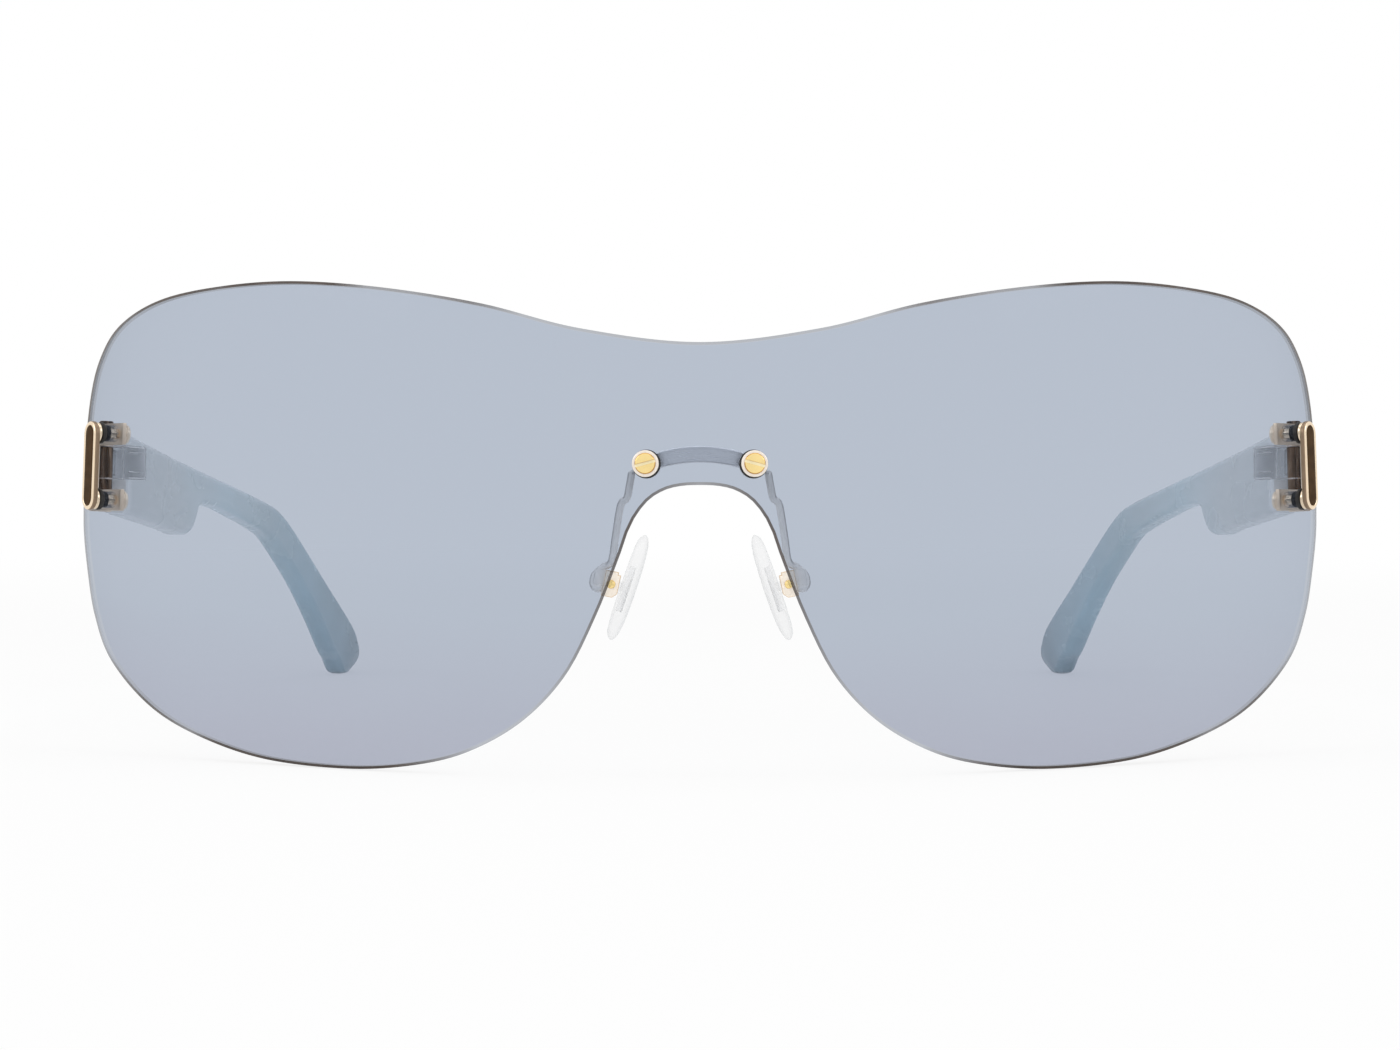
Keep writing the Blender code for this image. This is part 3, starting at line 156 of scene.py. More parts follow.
# Rungs across the temple: how far back and how high its top and bottom end lie, as
# shares of the temple's length and of the plate's height
TEMPLE_RUNGS = (
    (0.112, 0.395, 0.104, -0.583), (0.196, 0.281, 0.196, -0.677),
    (0.238, 0.228, 0.240, -0.733), (0.266, 0.192, 0.267, -0.768),
    (0.284, 0.168, 0.285, -0.733), (0.300, 0.148, 0.301, -0.605),
    (0.316, 0.129, 0.314, -0.460), (0.336, 0.104, 0.333, -0.383),
    (0.368, 0.064, 0.364, -0.364), (0.432, -0.013, 0.428, -0.403),
    (0.520, -0.119, 0.516, -0.529), (0.592, -0.208, 0.580, -0.626),
    (0.664, -0.319, 0.636, -0.726), (0.712, -0.447, 0.676, -0.835),
    (0.760, -0.697, 0.720, -1.069), (0.824, -1.131, 0.784, -1.498),
    (0.892, -1.605, 0.850, -2.080), (0.952, -2.013, 0.900, -2.585),
    (0.986, -2.289, 0.917, -2.712), (1.0014, -2.534, 0.930, -2.850),
)

# The rungs between which the temple slims from its plate to its arm, the height of the
# rungs' zero over the hinge, and the rounding of the temple's front
PLATE_END_RUNG = 3
ARM_START_RUNG = 8
TEMPLE_LEVEL = -0.0007
FRONT_EDGE = 0.00028

# The rounded tip past the last rung: its sections and the number at which they would
# close, how full its two corners are, how far the lower one rises, how far the tip
# reaches in arm heights, and how fast it slims
TIP_RUNGS = 12
TIP_END = 12.7
TIP_TOP = (3.2, 0.31)
TIP_BOTTOM = (2.5, 0.4)
TIP_RISE = 0.22
TIP_REACH = 0.235
TIP_SLIM = 0.45

# The bar's rounding and its steps, how far the screws pass the bar, how domed their
# heads are, and the side of the nuts: how far in and how far down from its face
BAR_EDGE = 0.00022
BAR_STEPS = 48
SHANK_PAST = 0.0006
HEAD_DOME = 0.00006
NUT_GROOVE = (
    (0.00006, 0.0), (0.0, 0.00006), (0.0, 0.00040), (0.00007, 0.00047),
    (0.00007, 0.00052), (0.0, 0.00059),
)

# The thin dark ring under each bridge washer, a painted shadow beside the washer: how far it lies
# within and beyond the washer's side, its heights over the lens, and its shift from the screw
SHADOW_RING_WITHIN = 0.00025
SHADOW_RING_BEYOND = 0.00011
SHADOW_RING_HEIGHTS = (0.00003, 0.00008)
SHADOW_RING_SHIFT = (-0.00009, -0.00003)

# Points of the pad arm as shares of its span: across, back and up from the bar's eye
ARM_ROUTE = (
    (0.142, 0.000, -0.080), (0.162, 0.038, -0.190), (0.186, 0.094, -0.295),
    (0.242, 0.142, -0.360), (0.292, 0.302, -0.639), (0.330, 0.430, -0.862),
    (0.404, 0.502, -0.915), (0.480, 0.522, -0.983), (0.500, 0.518, -1.063),
    (0.472, 0.494, -1.111), (0.432, 0.486, -1.107),
)

# The small plate inside the arm's curled foot: its place in spans, its size, and its
# edge as insets and heights
FOOT_PLACE = (0.436, 0.500, -1.015)
FOOT_WIDTH = 0.0014
FOOT_HEIGHT = 0.0025
FOOT_SECTION = (
    (0.00010, -0.00025), (0.00003, -0.00022), (0.0, -0.00015),
    (0.0, 0.00015), (0.00003, 0.00022), (0.00010, 0.00025),
)

# The pad box: its stepped corner, its slanted corner, its wall and its mouth. Then the
# height of its screw's head, and the screw's slot: width and depth
BOX_STEP = 0.0003
BOX_SLANT = 0.0005
BOX_WALL = 0.00026
BOX_MOUTH = 0.0013
PAD_SCREW_DEPTH = 0.00025
PAD_SLOT = (0.00016, 0.00010)

# The nose pad's section from its flat back to its domed face: height and outline shares
PAD_LAYERS = (
    (-0.50, 0.80), (-0.47, 0.86), (-0.42, 0.905), (-0.36, 0.93), (-0.24, 0.972),
    (-0.10, 1.00), (0.04, 0.995), (0.18, 0.96), (0.29, 0.90), (0.38, 0.82),
    (0.45, 0.70), (0.49, 0.58), (0.50, 0.52),
)

# How much narrower the pad gets toward its top, and the core inside it with its lug and
# the stem that joins them
PAD_TAPER = 0.16
CORE_WIDTH = 0.0030
CORE_HEIGHT = 0.0052
CORE_DEPTH = 0.0007
LUG_THICKNESS = 0.0011
LUG_RADIUS = 0.00052
STEM_SUNK = 0.00035

# The floor's height and its rings in floor radii, and the width of the camera's sensor
FLOOR_LEVEL = -0.00002
FLOOR_RINGS = (0.02, 0.1, 0.4, 1.0)
SENSOR_WIDTH = 36.0

# Where the softboxes look, and for each its setting, place, width, height and whether
# the pair mirrors it
SOFTBOX_AIM = (0.0, 0.0, 0.02)
SOFTBOXES = (
    ("key", (-0.93, -0.45, 0.62), 0.60, 0.50, True),
    ("fill", (0.93, -0.45, 0.62), 0.60, 0.50, True),
    ("top", (0.0, 0.06, 1.15), 1.40, 0.60, True),
    ("front", (0.0, -1.25, 0.30), 1.20, 0.90, False),
)

# The room between pieces that sit still, in front of and behind the lens, and between
# pieces that turn. Then how far a cutter reaches past what it cuts
SEAT_GAP = 0.00005
LENS_GAP = 0.0001
LENS_BACK_GAP = 0.00022
RUNNING_GAP = 0.0001
OVERRUN = 0.001

# Facets of round pieces, and the sharpest edge that is shaded smooth
ROUND_SIDES = 48
SMOOTH_ANGLE = math.radians(32.0)


def length(name, description, default):
    """A size in metres that a user may change."""
    return FloatProperty(
        name=name, description=description, default=default, min=0.0, precision=5,
        subtype="DISTANCE", unit="LENGTH",
    )


def angle(name, description, default):
    """An angle that a user may change."""
    return FloatProperty(
        name=name, description=description, default=math.radians(default),
        subtype="ANGLE", unit="ROTATION",
    )


def share(name, description, default):
    """A share between none and all."""
    return FloatProperty(
        name=name, description=description, default=default, min=0.0, max=1.0,
        subtype="FACTOR",
    )


def colour(name, description, default):
    """A linear colour that a user may change."""
    return FloatVectorProperty(
        name=name, description=description, default=default, min=0.0, max=1.0, size=3,
        subtype="COLOR",
    )


def power(name, description, default):
    """The power of a lamp that a user may change."""
    return FloatProperty(
        name=name, description=description, default=default, min=0.0, subtype="POWER",
        unit="POWER",
    )


class LensSettings(bpy.types.PropertyGroup):
    """Sizes and colours of the shield lens."""

    half_width: length("Half width", "From the middle of the lens to its side", 0.0750)
    half_height: length("Half height", "From the middle of the lens to its top", 0.0280)
    curve: FloatProperty(
        name="Curve", description="Radius round the face, in half widths", default=1.1773
    )
    crown: length("Crown radius", "Radius of the lens up and down", 0.175)
    thickness: length("Thickness", "Thickness of the lens", 0.0017)
    edge: length("Edge", "Width of the dark polished edge", 0.00032)
    tint: colour("Tint", "What one face of the lens lets through", (0.700, 0.735, 0.791))
    low_tint: colour("Low tint", "The same near the bottom edge", (0.680, 0.698, 0.757))
    # The edge's dark colour; how strongly it shows round the rim is painted reflection.
    edge_colour: colour("Edge colour", "Colour of the polished edge", (0.068, 0.052, 0.044))


class EndPieceSettings(bpy.types.PropertyGroup):
    """Sizes and colours of the bezels, posts, rings and nuts."""

    inset: length("Inset", "From the lens's side to the middle of the bezel", 0.0029)
    level: length("Level", "Height of the bezel over the lens's middle", 0.0071)
    width: length("Width", "Width of the bezel", 0.0031)
    height: length("Height", "Height of the bezel", 0.0107)
    depth: length("Depth", "Thickness of the bezel", 0.00070)
    wall: length("Wall", "Width of the bezel's lip", 0.00050)
    recess: length("Recess", "Depth of the place for the enamel", 0.00032)
    edge: length("Edge", "Rounding of the bezel's edge", 0.00028)
    inlay: length("Inlay", "Thickness of the enamel", 0.00022)
    spacing: length("Post spacing", "Between the two posts", 0.0080)
    post: length("Post radius", "Radius of a post", 0.00060)
    collar: length("Collar radius", "Radius of the spacer disc", 0.00122)
    collar_depth: length("Collar depth", "Thickness of the spacer disc", 0.00045)
    gasket: length("Gasket radius", "Radius of the rubber ring", 0.00130)
    gasket_depth: length("Gasket depth", "Thickness of the rubber ring", 0.00050)
    sleeve: length("Sleeve wall", "Wall of the sleeve in the lens's hole", 0.00030)
    black_depth: length("Black depth", "How far the black of the ring enters the hole", 0.0006)
    nut: length("Nut radius", "Radius of the cap nut", 0.00115)
    nut_depth: length("Nut depth", "Thickness of the cap nut", 0.00065)
    nut_edge: length("Nut edge", "Rounding of the cap nut", 0.00018)
    gold: colour("Gold", "Pale gold plate", (0.92, 0.75, 0.55))
    # The cap nuts' plate is paler than the bezel gold: partly its own paler plate, partly
    # lightened as a painted highlight.
    nut_colour_painted_highlight: colour("Nut", "Paler plate of the cap nuts", (1.0, 0.85, 0.68))
    # The bezel's side wall is painted in this darker gold: painted shade and painted reflection of
    # dark surroundings on the same gold plate.
    gold_wall_painted_shade: colour("Gold wall", "The darker gold of the bezel's side", (0.30, 0.215, 0.145))
    enamel: colour("Enamel", "Dark brown inlay", (0.055, 0.026, 0.006))
    rubber: colour("Rubber", "Black rubber", (0.016, 0.015, 0.014))


class HingeSettings(bpy.types.PropertyGroup):
    """Sizes and colours of the hinges."""

    ear_height: length("Ear height", "Height of each ear of the fork", 0.0026)
    ear_depth: length("Ear thickness", "Thickness of each ear", 0.00055)
    spine: length("Spine width", "Width of the fork's spine", 0.0016)
    reach: length("Reach", "From the posts to the hinge's axis", 0.0068)
    knuckle: length("Knuckle radius", "Radius of the hinge's barrel", 0.00095)
    pin: length("Pin radius", "Radius of the hinge screw", 0.00055)
    head: length("Head radius", "Radius of the hinge screw's head", 0.00085)
    head_depth: length("Head height", "Height of the hinge screw's head", 0.00045)
    block_length: length("Block length", "Length of the clear block", 0.0088)
    block_height: length("Block height", "Height of the clear block", 0.0040)
    block_level: length("Block level", "Height of the clear block's middle", 0.00075)
    tongue: length("Tongue thickness", "Thickness of the barrel's tongue", 0.00080)
    tongue_height: length("Tongue height", "Height of the barrel's tongue", 0.0030)
    tongue_length: length("Tongue length", "How far the tongue enters the temple", 0.0016)
    bronze: colour("Bronze", "Dark bronze of the barrel", (0.070, 0.039, 0.020))
    # The light streaks along the barrel are painted reflections of the studio light on the round
    # barrel.
    bronze_painted_reflection: colour("Light bronze", "Streaks along the barrel", (0.290, 0.195, 0.130))
    fork_colour: colour("Fork", "Warm satin gold of the fork behind the lens", (1.0, 0.80, 0.60))
    tongue_colour: colour("Tongue", "Pale satin plate of the tongue", (0.86, 0.88, 0.90))
    clear: colour("Clear", "What the clear block lets through", (0.990, 0.993, 0.996))


class TempleSettings(bpy.types.PropertyGroup):
    """Sizes and colours of the temples."""

    toe_in: angle("Toe-in", "How far the temples lean toward each other", 6.0)
    length: length("Length", "From the hinge to the tip", 0.1250)
    height: length("Height", "Height of the plate", 0.0098)
    thickness: length("Plate thickness", "Thickness of the plate", 0.0037)
    arm_thickness: length("Arm thickness", "Thickness of the arm", 0.0030)
    outer_face: length("Outer face", "From the hinge's axis out to the plate", 0.00115)
    front_gap: length("Front gap", "Between the barrel and the plate", 0.00045)
    tip_turn: angle("Tip turn", "How far the tips turn in", 7.334)
    turn_start: length("Turn start", "Where the turn starts", 0.0730)
    turn_length: length("Turn length", "Length of the turn", 0.0250)
    edge: length("Edge radius", "Rounding of the temple's edges", 0.0011)
    wall: length("Pocket wall", "Wall outside the hinge block", 0.0007)
    # These colours carry the acetate's own deepening toward the tip, and also painted shade and
    # light along the temple.
    front: colour("Front", "Acetate at the plate", (0.710, 0.745, 0.750))
    arm: colour("Arm", "Acetate along the arm", (0.635, 0.765, 0.805))
    tip: colour("Tip", "Acetate at the tip", (0.345, 0.450, 0.500))
    # The pocket's walls are painted much paler than the acetate: painted light in the pocket's
    # shade.
    pocket: colour("Pocket", "Cut walls of the pocket", (0.96, 0.97, 0.98))


class BridgeSettings(bpy.types.PropertyGroup):
    """Sizes and colours of the bridge bar and its fixings."""

    reach: length("Reach", "From the middle to each screw", 0.00605)
    level: length("Level", "Height of the screws over the lens's middle", 0.0068)
    height: length("Bar height", "Height of the bar", 0.00185)
    thickness: length("Bar thickness", "Thickness of the bar", 0.0011)
    rise: length("Bar rise", "How far the bar arches", 0.0011)
    eye: length("Eye radius", "Radius of the bar's eyes", 0.00150)
    washer: length("Washer radius", "Radius of the washers", 0.00150)
    washer_depth: length("Washer depth", "Thickness of the washers", 0.00040)
    head: length("Head radius", "Radius of the screw heads", 0.00118)
    head_depth: length("Head height", "Height of the screw heads", 0.00050)
    shank: length("Shank radius", "Radius of the screws", 0.0006)
    slot: length("Slot width", "Width of the screw slots", 0.00034)
    slot_depth: length("Slot depth", "Depth of the screw slots", 0.00028)
    slot_turn: angle("Slot turn", "How far the slots turn from level", 15.0)
    nut: length("Nut radius", "Radius of the cap nuts", 0.00130)
    nut_depth: length("Nut height", "Height of the cap nuts", 0.00110)
    gold: colour("Screw gold", "Yellow gold plate", (0.98, 0.760, 0.340))
    # A darker copy of the screw gold for edges, head sides and slot walls: painted shade.
    gold_edge: colour("Gold edge", "Deeper gold along the edges", (0.66, 0.36, 0.09))
    # A paler copy of the screw gold for the slots' floors: painted light.
    slot_floor: colour("Slot floor", "Paler gold in the slots", (1.0, 0.88, 0.56))
    washer_colour: colour("Washer", "Pale satin washer", (0.895, 0.825, 0.745))
    bar: colour("Bar", "Satin metal of the bar", (0.870, 0.865, 0.870))


class PadSettings(bpy.types.PropertyGroup):
    """Sizes and colours of the pad arms, boxes and pads."""

    arm: length("Arm radius", "Radius of the wire", 0.00042)
    span: length("Arm span", "Scale of the arm's route", 0.0125)
    box_reach: length("Box reach", "From the middle to the box", 0.01005)
    box_back: length("Box depth", "From the lens's front back to the box", 0.0093)
    box_drop: length("Box drop", "From the lens's middle down to the box", 0.0067)
    box_width: length("Box width", "Width of the box", 0.00176)
    box_height: length("Box height", "Height of the box", 0.00295)
    box_length: length("Box length", "Length of the box, front to back", 0.0024)
    box_lean: angle("Box lean", "How far the box leans", 12.0)
    screw: length("Screw radius", "Radius of the pad screw's shank", 0.00028)
    screw_head: length("Screw head", "Radius of the pad screw's head", 0.00049)
    height: length("Pad height", "Height of the nose pad", 0.0126)
    width: length("Pad width", "Width of the nose pad", 0.0070)
    thickness: length("Pad thickness", "Thickness of the nose pad", 0.0016)
    lean: angle("Pad lean", "How far the pads lean", 18.7)
    splay: angle("Pad splay", "How far the pads open toward the face", 4.0)
    seat: length("Pad seat", "From the box's screw to the pad", 0.0021)
    setback: length("Pad setback", "From the box's screw back to the pad", 0.0018)
    lift: length("Pad lift", "From the box's screw up to the pad's middle", 0.0002)
    silver: colour("Arm metal", "Bright warm metal of the arms", (1.0, 0.968, 0.930))
    silicone: colour("Silicone", "What a face of the pad lets through", (0.969, 0.969, 0.970))
    core: colour("Core", "What a face of the pad's core lets through", (0.970, 0.971, 0.973))


class StageSettings(bpy.types.PropertyGroup):
    """The floor, the lights and the camera."""

    floor: length("Floor radius", "Radius of the floor", 6.0)
    fade_start: length("Fade start", "Where the floor starts to turn into background", 0.20)
    fade_end: length("Fade end", "Where the floor is all background", 0.55)
    floor_colour: colour("Floor", "Colour of the floor", (0.96, 0.96, 0.96))
    sky: share("Room light", "Strength of the even light all round", 0.56)
    key: power("Key light", "Power of the softbox over the left", 2.0)
    fill: power("Fill light", "Power of the softbox over the right", 1.6)
    top: power("Top light", "Power of the softbox overhead", 3.6)
    front: power("Front light", "Power of the softbox behind the camera", 4.4)
    distance: length("Camera distance", "From the lens's front to the camera", 0.436)
    focal: FloatProperty(
        name="Focal length", description="Focal length of the camera", default=101.0,
        min=1.0, subtype="DISTANCE_CAMERA", unit="CAMERA",
    )


class Layout:
    """Frames and layer heights that several pieces share."""

    def __init__(self, scene):
        self.lens = scene.shield_lens
        self.end = scene.shield_end_pieces
        self.hinge = scene.shield_hinges
        self.temple = scene.shield_temples
        self.bridge = scene.shield_bridge
        self.pad = scene.shield_pads
        lens, end, hinge, temple = self.lens, self.end, self.hinge, self.temple
        self.radius = lens.half_width * lens.curve
        self.end_frame = self.lens_frame(lens.half_width - end.inset, end.level)
        self.bridge_frame = self.lens_frame(self.bridge.reach, self.bridge.level)
        self.gasket_top = LENS_GAP + end.gasket_depth
        self.collar_bottom = self.gasket_top + SEAT_GAP
        self.collar_top = self.collar_bottom + end.collar_depth
        self.bezel_back = self.collar_top + SEAT_GAP
        self.bezel_front = self.bezel_back + end.depth
        self.inlay_back = self.bezel_front - end.recess + SEAT_GAP
        self.sleeve = end.post + SEAT_GAP + end.sleeve
        self.ear_face = -lens.thickness - LENS_BACK_GAP - hinge.ear_depth
        self.nut_face = self.ear_face - SEAT_GAP
        self.nut_end = self.nut_face - end.nut_depth
        drop = self.back_of_lens(hinge.reach) - hinge.ear_depth - RUNNING_GAP - hinge.knuckle
        self.hinge_drop = drop
        axis = self.end_frame @ Matrix.Translation((hinge.reach, 0, drop))
        self.pin_frame = axis @ Matrix.Rotation(-math.pi / 2, 4, "X")
        self.ear_top = (end.spacing + hinge.ear_height) / 2
        self.ear_gap = (end.spacing - hinge.ear_height) / 2
        self.temple_frame = (
            Matrix.Translation(axis.translation) @ Matrix.Rotation(temple.toe_in, 4, "Z")
        )
        self.temple_start = hinge.knuckle + temple.front_gap
        self.inner_face = temple.outer_face - temple.thickness
        self.tongue_face = temple.outer_face - temple.wall - RUNNING_GAP
        self.bar_front = -lens.thickness - LENS_BACK_GAP
        self.bar_back = self.bar_front - self.bridge.thickness
        pad = self.pad
        pad_axis = Vector((pad.box_reach, pad.box_back, -pad.box_drop))
        self.box_frame = self.leaned(pad_axis)
        self.pad_frame = (
            Matrix.Translation(pad_axis)
            @ Matrix.Rotation(-pad.lean, 4, "Y")
            @ Matrix.Rotation(-pad.splay, 4, "Z")
            @ Matrix(((0, 0, -1, 0), (1, 0, 0, 0), (0, 1, 0, 0), (0, 0, 0, 1)))
            @ Matrix.Translation((pad.setback, pad.lift, pad.seat))
        )

    def post(self, way):
        """Where a post stands in the end piece's frame, above or below its middle."""
        return (0, way * self.end.spacing / 2)

    def leaned(self, place):
        """A frame that leans as the pad boxes do: across, up and to the front."""
        return (
            Matrix.Translation(place)
            @ Matrix.Rotation(-self.pad.box_lean, 4, "Y")
            @ Matrix.Rotation(math.pi / 2, 4, "X")
        )

    def ring_radius(self, height, depth=0.0):
        """Distance of the lens, at a depth under its face, from its upright axis."""
        crown = self.lens.crown - depth
        return self.radius - self.lens.crown + math.sqrt(crown**2 - height**2)

    def lens_frame(self, reach, level):
        """The lens's outer face at a place on it: axes to the side, up and out."""
        radius = self.ring_radius(level)
        turn = math.asin(reach / radius)
        crown = math.asin(level / self.lens.crown)
        out = Vector((
            math.sin(turn) * math.cos(crown), -math.cos(turn) * math.cos(crown), math.sin(crown)
        ))
        up = Vector((
            -math.sin(turn) * math.sin(crown), math.cos(turn) * math.sin(crown), math.cos(crown)
        ))
        side = up.cross(out)
        place = Vector((reach, self.radius - radius * math.cos(turn), level))
        return Matrix.Translation(place) @ Matrix((side, up, out)).transposed().to_4x4()

    def back_of_lens(self, across):
        """Height of the lens's back, less its gap, at a distance across a lens frame."""
        radius = self.radius - self.lens.thickness - LENS_BACK_GAP
        return math.sqrt(radius**2 - across**2) - self.radius

    def lens_face(self, x, z, depth):
        """A point of the lens's front or back face and which way the face looks."""
        ring = self.ring_radius(z, depth)
        y = self.radius - math.sqrt(ring**2 - x**2)
        crown_shift = self.radius - self.lens.crown
        flat = Vector((x, y - self.radius, 0))
        centre = flat.normalized() * crown_shift + Vector((0, self.radius, 0))
        out = (Vector((x, y, z)) - centre).normalized()
        return Vector((x, y, z)), out if depth == 0 else -out


def place_for(side):
    """Mirrors a piece for its side and leans it onto the table."""
    return STAND @ Matrix.Diagonal((side, 1, 1, 1))


def per_band(finish, count):
    """One finish for each band of faces, from a single finish or a list of them."""
    return finish if isinstance(finish, list) else [finish] * count


def strip(bm, lower, upper, finish):
    """A closed strip of faces between two loops of points."""
    count = len(lower)
    for i in range(count):
        j = (i + 1) % count
        bm.faces.new((lower[i], lower[j], upper[j], upper[i])).material_index = finish


def skin(bm, rings, finish=0, end=True):
    """A skin through rings of points, with a face over its start and, if asked, its end."""
    loops = [[bm.verts.new(point) for point in ring] for ring in rings]
    bands = per_band(finish, len(loops) - 1)
    for lower, upper, band in zip(loops, loops[1:], bands):
        strip(bm, lower, upper, band)
    bm.faces.new(reversed(loops[0])).material_index = bands[0]
    if end:
        bm.faces.new(loops[-1]).material_index = bands[-1]


def circle(frame_at, radius, height, centre=(0, 0), sides=ROUND_SIDES):
    """Points round a circle square to a frame's third axis."""
    points = []
    for i in range(sides):
        turn = math.tau * i / sides
        points.append(frame_at @ Vector((
            centre[0] + radius * math.cos(turn), centre[1] + radius * math.sin(turn), height
        )))
    return points


def turned(bm, frame_at, profile, centre=(0, 0), finish=0):
    """A solid turned about a frame's third axis, through radii and heights."""
    skin(bm, [circle(frame_at, r, h, centre) for r, h in profile], finish)


def turned_ring(bm, frame_at, profile, centre=(0, 0), finish=0):
    """A ring turned about a frame's third axis, whose section is closed."""
    loops = [
        [bm.verts.new(point) for point in circle(frame_at, r, h, centre)] for r, h in profile
    ]
    bands = per_band(finish, len(loops))
    for lower, upper, band in zip(loops, loops[1:] + loops[:1], bands):
        strip(bm, lower, upper, band)


def round_over(radius, height, edge, steps):
    """Radii and heights of an edge rounded from the side of a disc onto its face."""
    toward = math.copysign(1, edge)
    size = abs(edge)
    profile = []
    for i in range(steps + 1):
        turn = math.pi / 2 * i / steps
        profile.append((
            radius - size * (1 - math.cos(turn)), height - toward * size * (1 - math.sin(turn))
        ))
    return profile


def disc_ring(bm, frame_at, bore, radius, low, high, edge, centre=(0, 0)):
    """A flat ring with rounded outer edges."""
    profile = [(bore, low)]
    profile += reversed(round_over(radius, low, -edge, 3))
    profile += round_over(radius, high, edge, 3)
    profile.append((bore, high))
    turned_ring(bm, frame_at, profile, centre)


def prism(bm, frame_at, outline, start, end, finish=0):
    """An outline in a frame's first two axes, drawn out along the third."""
    rings = [[frame_at @ Vector((a, b, h)) for a, b in outline] for h in (start, end)]
    skin(bm, rings, finish)


def oblong(left, right, low, high):
    """The four corners of a rectangle."""
    return [(left, low), (right, low), (right, high), (left, high)]


def stadium(width, height):
    """An upright oblong with round ends."""
    radius = width / 2
    straight = height / 2 - radius
    steps = 24
    points = []
    for level, first in ((straight, 0), (-straight, math.pi)):
        for i in range(steps + 1):
            turn = first + math.pi * i / steps
            points.append((radius * math.cos(turn), level + radius * math.sin(turn)))
    return points


def stadium_solid(bm, frame_at, width, height, section, finish=0):
    """An upright oblong with round ends, through insets from its outline and heights."""
    rings = [
        [
            frame_at @ Vector((a, b, level))
            for a, b in stadium(width - 2 * inset, height - 2 * inset)
        ]
        for inset, level in section
    ]
    skin(bm, rings, finish)


def screw_slot(frame_at, radius, top, width, depth):
    """The cutter for a slot right across a screw's head."""
    bm = bmesh.new()
    reach = radius + OVERRUN
    outline = oblong(-reach, reach, -width / 2, width / 2)
    prism(bm, frame_at, outline, top - depth, top + OVERRUN)
    return bm


def smooth_path(points, steps):
    """Points on a smooth curve through the given ones, its two ends included."""
    ends = [points[0] * 2 - points[1]] + list(points) + [points[-1] * 2 - points[-2]]
    path = []
    for before, start, end, after in zip(ends, ends[1:], ends[2:], ends[3:]):
        leave = (end - before) / 2
        arrive = (after - start) / 2
        for i in range(steps):
            t = i / steps
            path.append(
                start * (2 * t**3 - 3 * t**2 + 1) + leave * (t**3 - 2 * t**2 + t)
                + end * (3 * t**2 - 2 * t**3) + arrive * (t**3 - t**2)
            )
    return path + [points[-1]]


def tube(bm, path, radius, sides=20):
    """A round wire along a path, with rounded ends."""
    turns = (0.25, 0.7, 1.15)
    rings = []
    across = Vector((0, 1, 0))
    for i, point in enumerate(path):
        along = (path[min(i + 1, len(path) - 1)] - path[max(i - 1, 0)]).normalized()
        across = (across - along * across.dot(along)).normalized()
        over = along.cross(across)
        sizes = [(0, 1)]
        if i == 0:
            sizes = [(-math.cos(t), math.sin(t)) for t in turns] + sizes
        if i == len(path) - 1:
            sizes += [(math.cos(t), math.sin(t)) for t in reversed(turns)]
        for ahead, size in sizes:
            centre = point + along * (radius * ahead)
            rings.append([
                centre + (across * math.cos(turn) + over * math.sin(turn)) * (radius * size)
                for turn in (math.tau * k / sides for k in range(sides))
            ])
    skin(bm, rings)


def bake(piece):
    """Keeps the shape that a piece's modifiers give it, and drops the modifiers."""
    depsgraph = bpy.context.evaluated_depsgraph_get()
    shaped = bpy.data.meshes.new_from_object(
        piece.evaluated_get(depsgraph), preserve_all_data_layers=True, depsgraph=depsgraph
    )
    piece.modifiers.clear()
    plain = piece.data
    name = plain.name
    piece.data = shaped
    bpy.data.meshes.remove(plain)
    shaped.name = name


def make(name, bm, side, materials):
    """An object from a mesh laid out for the wearer's left, placed for its side."""
    bmesh.ops.transform(bm, matrix=place_for(side), verts=bm.verts)
    bmesh.ops.recalc_face_normals(bm, faces=bm.faces)
    mesh = bpy.data.meshes.new(name)
    bm.to_mesh(mesh)
    bm.free()
    for material in materials:
        mesh.materials.append(material)
    piece = bpy.data.objects.new(name, mesh)
    bpy.context.scene.collection.objects.link(piece)
    return piece


def cut(piece, bm, side, operation="DIFFERENCE"):
    """Cuts a piece by a shape laid out as the piece was, or joins the two."""
    tool = make(piece.name + "_cutter", bm, side, list(piece.data.materials))
    change = piece.modifiers.new("cut", "BOOLEAN")
    change.operation = operation
    change.solver = "EXACT"
    change.object = tool
    bpy.context.view_layer.update()
    bake(piece)
    mesh = tool.data
    bpy.data.objects.remove(tool, do_unlink=True)
    bpy.data.meshes.remove(mesh)


def bevel(piece, width, angle_limit=40.0, finish=-1, segments=2):
    """Rounds a piece's edges that are sharper than an angle in degrees."""
    change = piece.modifiers.new("edge", "BEVEL")
    change.width = width
    change.segments = segments
    change.limit_method = "ANGLE"
    change.angle_limit = math.radians(angle_limit)
    change.harden_normals = False
    change.material = finish
    bpy.context.view_layer.update()
    bake(piece)


def seat(piece, node, slot):
    """Shades a finished piece, and lets it ride with the node it stands for."""
    piece.data.shade_smooth()
    piece.data.set_sharp_from_angle(angle=SMOOTH_ANGLE)
    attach(piece, frame["nodes"][node]["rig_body"])
    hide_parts(node)


# Finishes


